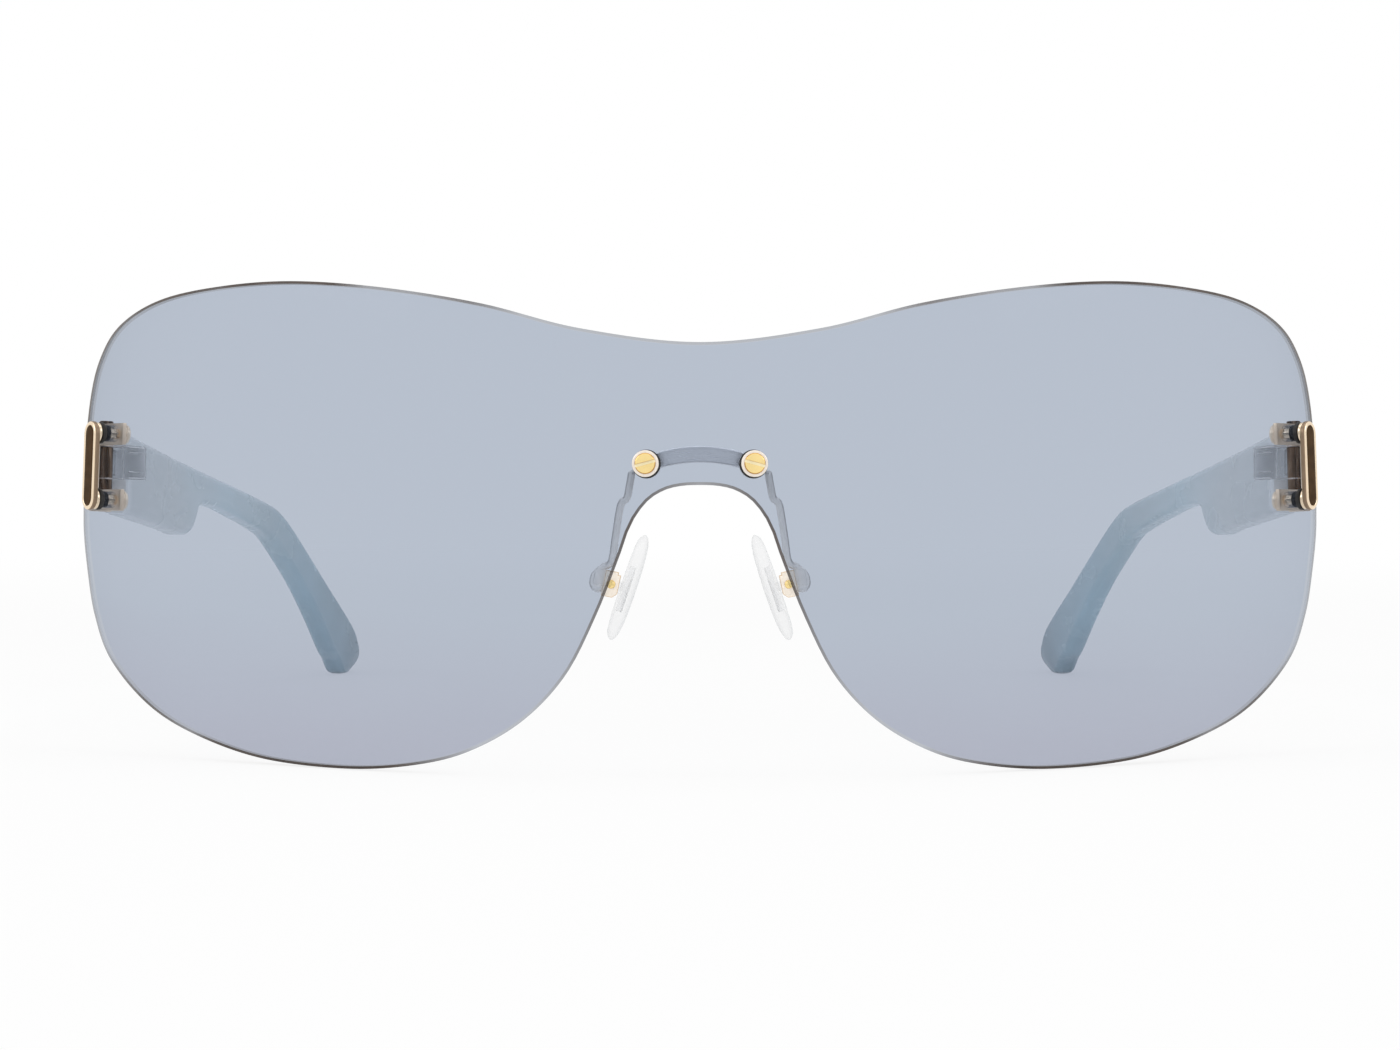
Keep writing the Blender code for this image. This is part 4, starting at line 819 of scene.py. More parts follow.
class Nodes:
    """A node tree under construction, with short ways to add its nodes."""

    def __init__(self, tree):
        self.tree = tree
        tree.nodes.clear()

    def add(self, kind, **values):
        """A node with its sockets set by value or linked from another socket."""
        node = self.tree.nodes.new(kind)
        for key, value in values.items():
            if hasattr(node, key):
                setattr(node, key, value)
                continue
            socket = node.inputs[int(key[1:]) if key[1:].isdigit() else key.replace("_", " ")]
            if isinstance(value, bpy.types.NodeSocket):
                self.tree.links.new(value, socket)
            elif socket.type == "RGBA" and len(value) == 3:
                socket.default_value = (*value, 1.0)
            else:
                socket.default_value = value
        return node

    def between(self, amount, low, high, start=0.35, end=0.65):
        """A number that follows an amount from low to high."""
        return self.add(
            "ShaderNodeMapRange", Value=amount, From_Min=start, From_Max=end, To_Min=low,
            To_Max=high,
        ).outputs[0]

    def math(self, operation, first, second=0.0):
        """Two numbers joined by an operation."""
        return self.add("ShaderNodeMath", operation=operation, _0=first, _1=second).outputs[0]

    def background_rays(self):
        """One for rays that see the background straight, in a mirror or through glass."""
        path = self.add("ShaderNodeLightPath").outputs
        seen = self.math("MAXIMUM", path["Is Camera Ray"], path["Is Glossy Ray"])
        return self.math("MAXIMUM", seen, path["Is Transmission Ray"])


class Finish(Nodes):
    """A material under construction."""

    def __init__(self, name):
        self.material = bpy.data.materials.new(name)
        self.material.use_nodes = True
        super().__init__(self.material.node_tree)
        self.output = self.add("ShaderNodeOutputMaterial")
        self.coordinates = self.add("ShaderNodeTexCoord").outputs["Object"]

    def place(self):
        """Where a point of the piece lies: across, back and up."""
        return self.add("ShaderNodeSeparateXYZ", Vector=self.coordinates).outputs

    def grain(self, scale, detail=3.0, stretch=(1, 1, 1), distortion=0.0):
        """Soft noise over the piece, between none and all."""
        stretched = self.add("ShaderNodeMapping", Vector=self.coordinates, Scale=stretch)
        noise = self.add(
            "ShaderNodeTexNoise", Vector=stretched.outputs[0], Scale=scale, Detail=detail,
            Distortion=distortion,
        )
        return noise.outputs["Fac"]

    def blend(self, amount, first, second):
        """A colour that follows an amount from the first to the second."""
        return self.add(
            "ShaderNodeMix", data_type="RGBA", clamp_factor=True, _0=amount, _6=first, _7=second
        ).outputs[2]

    def clouded(self, noise, first, second, start=0.35, end=0.65):
        """A colour that follows soft noise from the first to the second."""
        return self.blend(self.between(noise, 0.0, 1.0, start, end), first, second)

    def ramp(self, amount, stops):
        """A colour that follows an amount through stops, each a position and a colour."""
        node = self.add("ShaderNodeValToRGB", Fac=amount)
        elements = node.color_ramp.elements
        elements.remove(elements[1])
        for index, (position, tone) in enumerate(stops):
            stop = elements[0] if index == 0 else elements.new(position)
            stop.position = position
            stop.color = (*tone, 1.0)
        return node.outputs[0]

    def relief(self, amount, strength, depth):
        """A bumped normal from an amount."""
        return self.add(
            "ShaderNodeBump", Height=amount, Strength=strength, Distance=depth
        ).outputs[0]

    def gloss(self, strength):
        """How much a clear surface mirrors, the same from both of its sides."""
        facing = self.add("ShaderNodeLayerWeight", Blend=0.5).outputs["Facing"]
        rise = self.math("MULTIPLY", self.math("POWER", facing, 5.0), 0.96 * strength)
        return self.math("ADD", rise, 0.04 * strength)

    def principled(self, **values):
        """The main shader."""
        return self.add("ShaderNodeBsdfPrincipled", **values).outputs[0]

    def through(self, tint):
        """A clear shader that tints what lies behind it."""
        return self.add("ShaderNodeBsdfTransparent", Color=tint).outputs[0]

    def mix(self, amount, first, second):
        """Two shaders mixed by an amount."""
        return self.add("ShaderNodeMixShader", _0=amount, _1=first, _2=second).outputs[0]

    def finish(self, shader):
        """Ends the material with its shader."""
        self.tree.links.new(shader, self.output.inputs["Surface"])
        return self.material


def once(finish):
    """Makes a finish at the first call for its name, and hands it out again after that."""
    @functools.wraps(finish)
    def known(name, *values, **named):
        return bpy.data.materials.get(name) or finish(name, *values, **named)
    return known


def shaded(tone, amount):
    """A colour made darker or lighter."""
    return tuple(min(1.0, part * amount) for part in tone)


@once
def plated_metal(name, tone, rough=(0.17, 0.28)):
    """Polished plate with fine cloudy wear and faint polishing lines."""
    f = Finish(name)
    cloud = f.grain(420.0, 4.0)
    lines = f.grain(1680.0, 2.0, (1, 1, 9))
    return f.finish(f.principled(
        Base_Color=f.clouded(cloud, shaded(tone, 0.92), tone),
        Roughness=f.between(cloud, rough[1], rough[0]),
        Metallic=1.0,
        Normal=f.relief(lines, 0.06, 0.00002),
    ))


def yellow_gold(bridge):
    """The plate of the small screws and of the bridge's nuts."""
    return plated_metal("yellow_gold_plate", bridge.gold, (0.14, 0.26))


def painted_shade_gold(bridge):
    """The darker gold painted along the small screws' edges, sides and slot walls: painted shade.
    """
    return plated_metal("deep_gold_edge", bridge.gold_edge, (0.24, 0.34))


def brushed_bar(name, tone):
    """Satin metal with fine lines drawn along the bar."""
    f = Finish(name)
    lines = f.grain(500.0, 3.0, (0.6, 3.0, 22.0))
    return f.finish(f.principled(
        Base_Color=f.clouded(lines, shaded(tone, 0.93), tone),
        Roughness=f.between(lines, 0.26, 0.38),
        Metallic=1.0,
        Normal=f.relief(lines, 0.25, 0.00002),
    ))


def arm_wire(name, tone):
    """Bright warm wire, with painted shade along the side that looks away from the nose and on its
    upper part.
    """
    f = Finish(name)
    look = f.add("ShaderNodeSeparateXYZ", Vector=f.add("ShaderNodeNewGeometry").outputs["Normal"])
    across, _, height = f.place()
    # The side turned away from the nose is painted dark: painted shade.
    away_side_painted_shade = f.math("MULTIPLY", look.outputs[0], f.math("SIGN", across))
    cloud = f.grain(1400.0)
    # The upper part of the wire is painted darker than the lower: painted shade.
    low = f.between(height, 1.0, 0.0, 0.0300, 0.0325)
    base = f.blend(low, shaded(tone, 0.88), f.clouded(cloud, shaded(tone, 0.96), tone))
    return f.finish(f.principled(
        Base_Color=f.clouded(away_side_painted_shade, base, shaded(tone, 0.45), 0.62, 0.95),
        Roughness=f.between(cloud, 0.48, 0.38),
        Metallic=0.1,
        Normal=f.relief(cloud, 0.04, 0.00002),
    ))


@once
def bronze_with_painted_reflections(name, dark, light):
    """Dark bronze with fine upright streaks of painted reflection in its colour; the same streaks
    vary its roughness and bump.
    """
    f = Finish(name)
    streaks_with_painted_reflection = f.grain(2600.0, 3.0, (1, 1, 0.035), 0.3)
    cloud = f.grain(700.0)
    tone = f.clouded(streaks_with_painted_reflection, dark, light, 0.44, 0.60)
    return f.finish(f.principled(
        Base_Color=f.blend(f.between(cloud, 0.0, 0.5, 0.4, 0.7), tone, dark),
        Roughness=f.between(streaks_with_painted_reflection, 0.24, 0.36),
        Metallic=0.85,
        Normal=f.relief(streaks_with_painted_reflection, 0.2, 0.00003),
    ))


@once
def dark_enamel(name, tone):
    """Glossy brown enamel with a slow wave in its surface."""
    f = Finish(name)
    wave = f.grain(420.0, 2.0, (1, 1, 1.6))
    return f.finish(f.principled(
        Base_Color=f.clouded(wave, shaded(tone, 0.80), shaded(tone, 1.20)),
        Roughness=f.between(wave, 0.40, 0.30),
        Specular_IOR_Level=0.04,
        Normal=f.relief(wave, 0.30, 0.00010),
    ))


@once
def matt_rubber(name, tone):
    """Black rubber with a fine grain."""
    f = Finish(name)
    fine = f.grain(5200.0, 2.0)
    return f.finish(f.principled(
        Base_Color=f.clouded(f.grain(900.0), tone, shaded(tone, 1.9)),
        Roughness=f.between(fine, 0.48, 0.66),
        Specular_IOR_Level=0.3,
        Normal=f.relief(fine, 0.25, 0.00003),
    ))


@once
def satin_plate(name, tone):
    """Pale satin metal with fine clouds of polish."""
    f = Finish(name)
    cloud = f.grain(1600.0, 4.0)
    return f.finish(f.principled(
        Base_Color=f.clouded(cloud, shaded(tone, 0.93), tone),
        Roughness=f.between(cloud, 0.30, 0.42),
        Metallic=0.55,
        Normal=f.relief(cloud, 0.12, 0.00002),
    ))


def milky_acetate(name, front, arm, tip):
    """Translucent milky acetate, clearer at the front and deeper toward the tip."""
    f = Finish(name)
    _, along, _ = f.place()
    milk = f.grain(60.0, 5.0, (1, 0.45, 1), 0.6)
    cloud = f.grain(210.0, 4.0, (1, 0.6, 1), 0.3)
    far = f.math("ADD", along, f.between(milk, -0.006, 0.006, 0.3, 0.7))
    # The stops along the temple are partly the acetate's own deepening toward the tip and partly
    # painted shade and light: the arm is darkened past its middle and its lower part lightened
    # before the tip.
    tone = f.ramp(f.between(far, 0.0, 1.0, -0.037, 0.084), (
        (0.0, front), (0.20, shaded(front, 1.04)), (0.42, shaded(arm, 1.0)),
        (0.62, shaded(arm, 0.84)), (0.84, shaded(tip, 1.34)), (0.97, shaded(tip, 0.92)),
    ))
    pale = f.blend(f.between(cloud, 0.0, 0.10, 0.35, 0.7), tone, (0.86, 0.90, 0.92))
    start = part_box("temple_left")[0][1]
    # The temple's front end is painted paler than the acetate: painted light against the shade
    # beside the barrel.
    front_end_painted_light = f.between(along, 0.85, 0.0, start + 0.0003, start + 0.0022)
    return f.finish(f.principled(
        Base_Color=f.blend(front_end_painted_light, pale, (0.95, 0.97, 0.98)),
        Roughness=f.between(cloud, 0.20, 0.30),
        Subsurface_Weight=0.35,
        Subsurface_Radius=(1.0, 1.0, 1.0),
        Subsurface_Scale=0.0012,
        Coat_Weight=0.25,
        Coat_Roughness=0.12,
        Normal=f.relief(f.grain(1500.0, 2.0), 0.05, 0.00003),
    ))


@once
def pocket_wall_painted_light(name, tone):
    """The pocket cut in the acetate, thin enough for light to come through its walls, and painted
    much paler than the acetate: painted light in the pocket's shade.
    """
    f = Finish(name)
    cloud = f.grain(500.0)
    return f.finish(f.principled(
        Base_Color=f.clouded(cloud, shaded(tone, 0.96), tone),
        Roughness=f.between(cloud, 0.30, 0.42),
        Subsurface_Weight=1.0,
        Subsurface_Radius=(1.0, 1.0, 1.0),
        Subsurface_Scale=0.003,
    ))


@once
def clear_finish(name, tint, rim, haze, gloss, cloudy, rough=(0.04, 0.10)):
    """A clear finish that tints what lies behind it, more toward its rims."""
    f = Finish(name)
    cloud = f.grain(700.0)
    facing = f.add("ShaderNodeLayerWeight", Blend=0.35).outputs["Facing"]
    through = f.through(f.clouded(facing, tint, rim, 0.25, 0.95))
    surface = f.principled(
        Base_Color=f.clouded(cloud, (0.74, 0.76, 0.78), (0.95, 0.96, 0.97)),
        Roughness=f.between(cloud, rough[0], rough[1]),
        Normal=f.relief(cloud, 0.10, 0.00004),
    )
    amount = f.math("ADD", f.gloss(gloss), f.between(cloud, haze, haze + cloudy))
    return f.finish(f.mix(amount, through, surface))


def clear_sleeve():
    """The clear sleeves that line the lens's holes."""
    return clear_finish(
        "clear_sleeve", (0.985, 0.985, 0.99), (0.94, 0.945, 0.95), haze=0.0, gloss=0.5,
        cloudy=0.015,
    )


@once
def painted_highlight_edge(name, tone, cover):
    """The edges of a clear piece, painted near-white and mostly opaque: painted highlight where
    they catch the light.
    """
    f = Finish(name)
    cloud = f.grain(900.0)
    surface = f.principled(
        Base_Color=f.clouded(cloud, shaded(tone, 0.93), tone),
        Roughness=f.between(cloud, 0.14, 0.24),
        Metallic=0.5,
        Normal=f.relief(cloud, 0.10, 0.00003),
    )
    amount = f.between(cloud, cover * 0.8, cover)
    return f.finish(f.mix(amount, f.through((0.94, 0.95, 0.96)), surface))


def tinted_lens(name, tint, low_tint):
    """The clear smoke-blue tint, a little deeper near the bottom edge."""
    f = Finish(name)
    _, _, height = f.place()
    cloud = f.grain(40.0, 2.0)
    level = f.math("ADD", height, f.between(cloud, -0.0012, 0.0012, 0.3, 0.7))
    tone = f.clouded(level, low_tint, tint, 0.003, 0.0175)
    seen = f.add("ShaderNodeLightPath").outputs["Is Camera Ray"]
    tone = f.blend(seen, f.blend(0.75, tint, (1.0, 1.0, 1.0)), tone)
    surface = f.principled(
        Base_Color=f.clouded(cloud, (0.20, 0.22, 0.26), (0.24, 0.26, 0.30)),
        Roughness=f.between(cloud, 0.02, 0.035),
        IOR=1.5,
    )
    return f.finish(f.mix(f.gloss(0.5), f.through(tone), surface))


def lens_rim_painted_reflection(name, tone, cover):
    """The lens's cut edge with painted reflection: dark round the lobes, faint over the nose and
    beside its foot.
    """
    f = Finish(name)
    cloud = f.grain(260.0)
    across, _, height = f.place()
    wide = f.between(f.math("ABSOLUTE", across), 0.0, 1.0, 0.0, RIM_REACH)
    upper = f.between(height, 0.0, 1.0, 0.034, 0.040)
    above, below = (
        f.ramp(wide, [(place / RIM_REACH, (dark, dark, dark)) for place, dark in stops])
        for stops in (UPPER_RIM_REFLECTION, LOWER_RIM_REFLECTION)
    )
    depth = f.math(
        "ADD", f.math("MULTIPLY", above, upper),
        f.math("MULTIPLY", below, f.math("SUBTRACT", 1.0, upper)),
    )
    amount = f.math("MULTIPLY", f.math("MULTIPLY", depth, cover), f.between(cloud, 0.92, 1.0))
    surface = f.principled(
        Base_Color=f.clouded(cloud, shaded(tone, 0.8), shaded(tone, 1.25)),
        Roughness=f.between(cloud, 0.25, 0.36),
        Specular_IOR_Level=0.3,
    )
    return f.finish(f.mix(amount, f.through((0.80, 0.82, 0.85)), surface))


# Pieces


def half_outline(layout):
    """The top and bottom edge of the lens's left half, with their outward directions."""
    lens = layout.lens
    points = [
        Vector((a * lens.half_width, b * lens.half_height * OUTLINE_FIT))
        for a, b in LENS_OUTLINE
    ]
    mirrored = [Vector((-p.x, p.y)) for p in points]
    whole = [mirrored[1]] + points + [mirrored[-2]]
    path = smooth_path(whole, OUTLINE_STEPS)[OUTLINE_STEPS:-OUTLINE_STEPS]
    drawn = []
    for i, point in enumerate(path):
        before, after = path[max(i - 1, 0)], path[min(i + 1, len(path) - 1)]
        along = (after - before).normalized()
        if i in (0, len(path) - 1):
            along = Vector((1 if i == 0 else -1, 0))
        drawn.append((point, Vector((-along.y, along.x))))
    turn = OUTLINE_TURN * OUTLINE_STEPS
    return drawn[: turn + 1], drawn[turn:]


def edge_at(edge, x):
    """The point and outward direction of an edge at a distance to the side."""
    low, high = 0, len(edge) - 1
    rising = edge[-1][0].x > edge[0][0].x
    while high - low > 1:
        middle = (low + high) // 2
        if (edge[middle][0].x <= x) == rising:
            low = middle
        else:
            high = middle
    a, b = edge[low], edge[high]
    span = b[0].x - a[0].x
    t = 0.0 if abs(span) < 1e-12 else min(max((x - a[0].x) / span, 0.0), 1.0)
    return a[0].lerp(b[0], t), a[1].lerp(b[1], t).normalized()


def lens_columns(layout):
    """Top and bottom edge points of the lens, from its right side to its left."""
    edges = half_outline(layout)
    rows = []
    for i in range(LENS_COLUMNS + 1):
        x = layout.lens.half_width * math.sin(math.pi * (i / LENS_COLUMNS - 0.5))
        side = -1 if x < 0 else 1
        ends = []
        for edge in edges:
            point, out = edge_at(edge, min(abs(x), layout.lens.half_width))
            ends.append((Vector((x, point.y)), Vector((out.x * side, out.y))))
        rows.append(ends)
    return rows


def lens_grid(bm, layout, rows, depth):
    """One face of the lens, as columns of points from its top edge to its bottom edge."""
    edge = layout.lens.edge
    grid = []
    for top, bottom in rows:
        high = top[0] - top[1] * edge
        low = bottom[0] - bottom[1] * edge
        column = []
        for k in range(LENS_STEPS + 1):
            point = high.lerp(low, k / LENS_STEPS)
            column.append(bm.verts.new(layout.lens_face(point.x, point.y, depth)[0]))
        grid.append(column)
    for left, right in zip(grid, grid[1:]):
        for k in range(LENS_STEPS):
            bm.faces.new((left[k], left[k + 1], right[k + 1], right[k]))
    return grid


def around(grid):
    """The points all round a grid of columns, from the top of its first column."""
    loop = [column[0] for column in grid] + grid[-1][1:-1]
    return loop + [column[-1] for column in reversed(grid)] + grid[0][-2:0:-1]


def curve_normals(layout, piece):
    """Gives the lens's two faces the smooth normals of the surface they follow."""
    unlean = STAND.inverted()
    lean = STAND.to_3x3()
    mesh = piece.data
    normals = []
    for face in mesh.polygons:
        for index in face.vertices:
            if face.material_index:
                normals.append(face.normal.copy())
                continue
            point = unlean @ mesh.vertices[index].co
            front, out = layout.lens_face(point.x, point.z, 0.0)
            if abs(point.y - front.y) > ON_FACE:
                out = layout.lens_face(point.x, point.z, layout.lens.thickness)[1]
            out = lean @ out
            normals.append(out if out.dot(face.normal) > 0.5 else face.normal.copy())
    mesh.normals_split_custom_set(normals)


def build_lens(layout):
    """The shield lens: a finely curved shell with a polished edge and its holes."""
    lens = layout.lens
    rows = lens_columns(layout)
    bm = bmesh.new()
    front, back = (
        around(lens_grid(bm, layout, rows, depth)) for depth in (0.0, lens.thickness)
    )
    ends = [[top[0], bottom[0]] for top, bottom in rows]
    for end in (0, -1):
        top, bottom = ends[end]
        ends[end] = [top.lerp(bottom, k / LENS_STEPS) for k in range(LENS_STEPS + 1)]
    rims = []
    corner = lens.edge * RIM_CORNER
    for depth, inward in ((0.0, corner), (lens.thickness, -corner)):
        rim = []
        for point in around(ends):
            place, _ = layout.lens_face(point.x, point.y, depth)
            rim.append(bm.verts.new(place + Vector((0, inward, 0))))
        rims.append(rim)
    order = (front, *rims, back)
    for band, (first, second) in enumerate(zip(order, order[1:]), 1):
        strip(bm, first, second, band)
    pale_edge = shaded(lens.edge_colour, 1.4)
    piece = make("shield_lens", bm, 1, [
        tinted_lens("smoke_lens_tint", lens.tint, lens.low_tint),
        lens_rim_painted_reflection("lens_polished_edge", lens.edge_colour, 1.25),
        lens_rim_painted_reflection("lens_cut_side", pale_edge, 0.98),
        lens_rim_painted_reflection("lens_back_edge", pale_edge, 0.45),
    ])
    low, high = -lens.thickness - OVERRUN, OVERRUN
    for _, side in SIDES:
        holes = bmesh.new()
        hole = layout.sleeve + SEAT_GAP
        for _, way in POSTS:
            turned(holes, layout.end_frame, ((hole, low), (hole, high)), layout.post(way))
        hole = layout.bridge.shank + 2 * SEAT_GAP + layout.end.sleeve
        turned(holes, layout.bridge_frame, ((hole, low), (hole, high)))
        cut(piece, holes, side)
    seat(piece, "lens", "smoke_lens")
    curve_normals(layout, piece)


def build_end_piece(layout, side_name, side):
    """The oblong bezel with its two posts, and the enamel set in it."""
    end = layout.end
    foot = end.edge * 0.3
    lip = end.wall * 0.22
    section = [(foot, layout.bezel_back), (0.0, layout.bezel_back + foot)]
    section += [
        (end.edge - end.edge * math.cos(t), layout.bezel_front - end.edge + end.edge * math.sin(t))
        for t in (math.pi / 2 * i / 5 for i in range(6))
    ]
    section += [
        (end.wall - lip + lip * math.sin(t), layout.bezel_front - lip + lip * math.cos(t))
        for t in (math.pi / 2 * i / 4 for i in range(5))
    ]
    section.append((end.wall, layout.bezel_front - end.recess))
    # The first four bands, the bezel's side wall and the start of its rounding, take the darker
    # gold: painted shade.
    bands = [1] * 4 + [0] * (len(section) - 5)
    bm = bmesh.new()
    stadium_solid(bm, layout.end_frame, end.width, end.height, section, bands)
    root = layout.bezel_back + (end.depth - end.recess) / 2
    tip = layout.nut_end + POST_SHORT
    for _, way in POSTS:
        turned(bm, layout.end_frame, ((end.post, root), (end.post, tip)), layout.post(way))
    gold = plated_metal("pale_gold_plate", end.gold)
    wall = plated_metal("pale_gold_side", end.gold_wall_painted_shade, (0.30, 0.40))
    bezel = make(f"bezel_plate_{side_name}", bm, side, [gold, wall])
    seat(bezel, f"bezel_{side_name}", "pale_gold")

    bm = bmesh.new()
    width = end.width - 2 * end.wall - 2 * SEAT_GAP
    height = end.height - 2 * end.wall - 2 * SEAT_GAP
    top = layout.inlay_back + end.inlay
    section = [(0.0, layout.inlay_back)]
    section += [(inset, top - down) for inset, down in INLAY_EDGE]
    stadium_solid(bm, layout.end_frame, width, height, section)
    enamel = dark_enamel("brown_enamel", end.enamel)
    inlay = make(f"enamel_strip_{side_name}", bm, side, [enamel])
    seat(inlay, f"bezel_inlay_{side_name}", "brown_inlay")


def build_post_rings(layout, side_name, side):
    """The rubber gasket, the spacer disc and the cap nut of each post."""
    end = layout.end
    gold = plated_metal("pale_gold_plate", end.gold)
    rubber = matt_rubber("black_rubber_ring", end.rubber)
    sleeve = clear_sleeve()
    # The nuts' paler plate is partly a painted highlight.
    pale = satin_plate("pale_nut_plate", end.nut_colour_painted_highlight)
    bore = end.post + SEAT_GAP
    for post_name, way in POSTS:
        centre = layout.post(way)
        bm = bmesh.new()
        edge = end.gasket_depth * 0.32
        split = -end.black_depth
        profile = [(bore, -layout.lens.thickness), (layout.sleeve, -layout.lens.thickness)]
        profile += [(layout.sleeve, split), (layout.sleeve, LENS_GAP)]
        profile += reversed(round_over(end.gasket, LENS_GAP, -edge, 4))
        profile += round_over(end.gasket, layout.gasket_top, edge, 4)
        profile += [(bore, layout.gasket_top), (bore, split)]
        bands = [1, 1] + [0] * (len(profile) - 3) + [1]
        turned_ring(bm, layout.end_frame, profile, centre, bands)
        ring = make(f"rubber_ring_{post_name}_{side_name}", bm, side, [rubber, sleeve])
        seat(ring, f"gasket_{post_name}_{side_name}", "black_rubber")

        bm = bmesh.new()
        disc_ring(
            bm, layout.end_frame, bore, end.collar, layout.collar_bottom, layout.collar_top,
            edge=end.collar_depth * 0.25, centre=centre,
        )
        disc = make(f"spacer_disc_{post_name}_{side_name}", bm, side, [gold])
        seat(disc, f"collar_{post_name}_{side_name}", "pale_gold")

        bm = bmesh.new()
        groove = end.nut_edge * 0.35
        middle = layout.nut_face - end.nut_depth * 0.34
        profile = [(end.nut - groove, layout.nut_face), (end.nut, layout.nut_face - groove)]
        profile += [(end.nut, middle + groove), (end.nut - groove, middle)]
        profile.append((end.nut, middle - groove))
        profile += round_over(end.nut, layout.nut_end, -end.nut_edge, 5)
        profile += [(end.nut * inward, layout.nut_end) for inward in (0.55, 0.15)]
        turned(bm, layout.end_frame, profile, centre)
        nut = make(f"cap_nut_{post_name}_{side_name}", bm, side, [pale])
        seat(nut, f"post_nut_{post_name}_{side_name}", "pale_gold")


def build_fork(layout, side_name, side):
    """The two ears behind the lens and the spine that joins them, ending in knuckles."""
    hinge = layout.hinge
    frame_at = layout.end_frame @ Matrix(
        ((1, 0, 0, 0), (0, 0, 1, 0), (0, 1, 0, 0), (0, 0, 0, 1))
    )
    steps = 16
    stop = hinge.reach + hinge.spine / 2
    outline = []
    for i in range(steps + 1):
        across = EAR_START + (stop - EAR_START) * i / steps
        outline.append((across, layout.back_of_lens(across)))
    for i in range(steps + 1):
        turn = -math.pi * i / steps
        outline.append((
            hinge.reach + hinge.knuckle * math.cos(turn),
            layout.hinge_drop + hinge.knuckle * math.sin(turn),
        ))
    outline.append((hinge.reach - hinge.knuckle - EAR_SHOULDER, layout.ear_face))
    outline.append((EAR_START, layout.ear_face))
    bm = bmesh.new()
    prism(bm, frame_at, outline, -layout.ear_top, layout.ear_top)
    plate = satin_plate("warm_fork_plate", hinge.fork_colour)
    fork = make(f"hinge_bracket_{side_name}", bm, side, [plate])

    near, far = hinge.reach - hinge.spine / 2, hinge.reach + 2 * hinge.knuckle
    floor = layout.hinge_drop - 2 * hinge.knuckle
    window = [(EAR_START - OVERRUN, 0), (near, 0)]
    for i in range(steps + 1):
        across = near + (far - near) * i / steps
        window.append((across, layout.back_of_lens(across) - hinge.ear_depth))
    window += [(far, floor), (EAR_START - OVERRUN, floor)]
    bm = bmesh.new()
    prism(bm, frame_at, window, -layout.ear_gap, layout.ear_gap)
    cut(fork, bm, side)
    bevel(fork, width=0.00008)
    seat(fork, f"hinge_fork_{side_name}", "pale_gold")


def build_hinge_screw(layout, side_name, side):
    """The slotted screw that is the hinge's pin."""
    hinge = layout.hinge
    bottom = layout.ear_top + SEAT_GAP
    top = bottom + hinge.head_depth
    bm = bmesh.new()
    profile = [(hinge.pin, -layout.ear_top), (hinge.pin, bottom), (hinge.head, bottom)]
    profile += round_over(hinge.head, top, edge=0.00018, steps=5)
    turned(bm, layout.pin_frame, profile)
    bronze = bronze_with_painted_reflections("dark_bronze_plate", hinge.bronze, hinge.bronze_painted_reflection)
    screw = make(f"hinge_pin_{side_name}", bm, side, [bronze])
    cut(screw, screw_slot(layout.pin_frame, hinge.head, top, *HINGE_SLOT), side)
    seat(screw, f"hinge_screw_{side_name}", "dark_bronze")


def build_barrel(layout, side_name, side):
    """The knuckle that turns with the temple, its pale lines of painted highlight and its tongue.
    """
    hinge = layout.hinge
    half = layout.ear_gap - RUNNING_GAP
    bm = bmesh.new()
    disc_ring(
        bm, layout.pin_frame, hinge.pin + SEAT_GAP, hinge.knuckle, -half, half, edge=0.00012
    )
    tongue = oblong(
        layout.tongue_face - hinge.tongue, layout.tongue_face, hinge.knuckle * 0.6,
        layout.temple_start + hinge.tongue_length,
    )
    low = hinge.block_level - hinge.tongue_height / 2
    prism(bm, layout.temple_frame, tongue, low, low + hinge.tongue_height, 2)
    # Pale rings at the block's top and bottom levels: painted highlight.
    inside, outside = hinge.knuckle - LINE_DEPTH, hinge.knuckle + LINE_RISE
    for rise in (-0.5, 0.5):
        line = hinge.block_level + rise * hinge.block_height
        section = oblong(inside, outside, line - LINE_WIDTH / 2, line + LINE_WIDTH / 2)
        turned_ring(bm, layout.pin_frame, section, finish=1)
    barrel = make(f"hinge_barrel_{side_name}", bm, side, [
        bronze_with_painted_reflections("dark_bronze_plate", hinge.bronze, hinge.bronze_painted_reflection),
        plated_metal("pale_joint_line", (0.62, 0.55, 0.50), (0.26, 0.36)),
        satin_plate("pale_tongue_plate", hinge.tongue_colour),
    ])
    bevel(barrel, width=0.00006, angle_limit=60.0)
    seat(barrel, f"hinge_tongue_{side_name}", "dark_bronze")


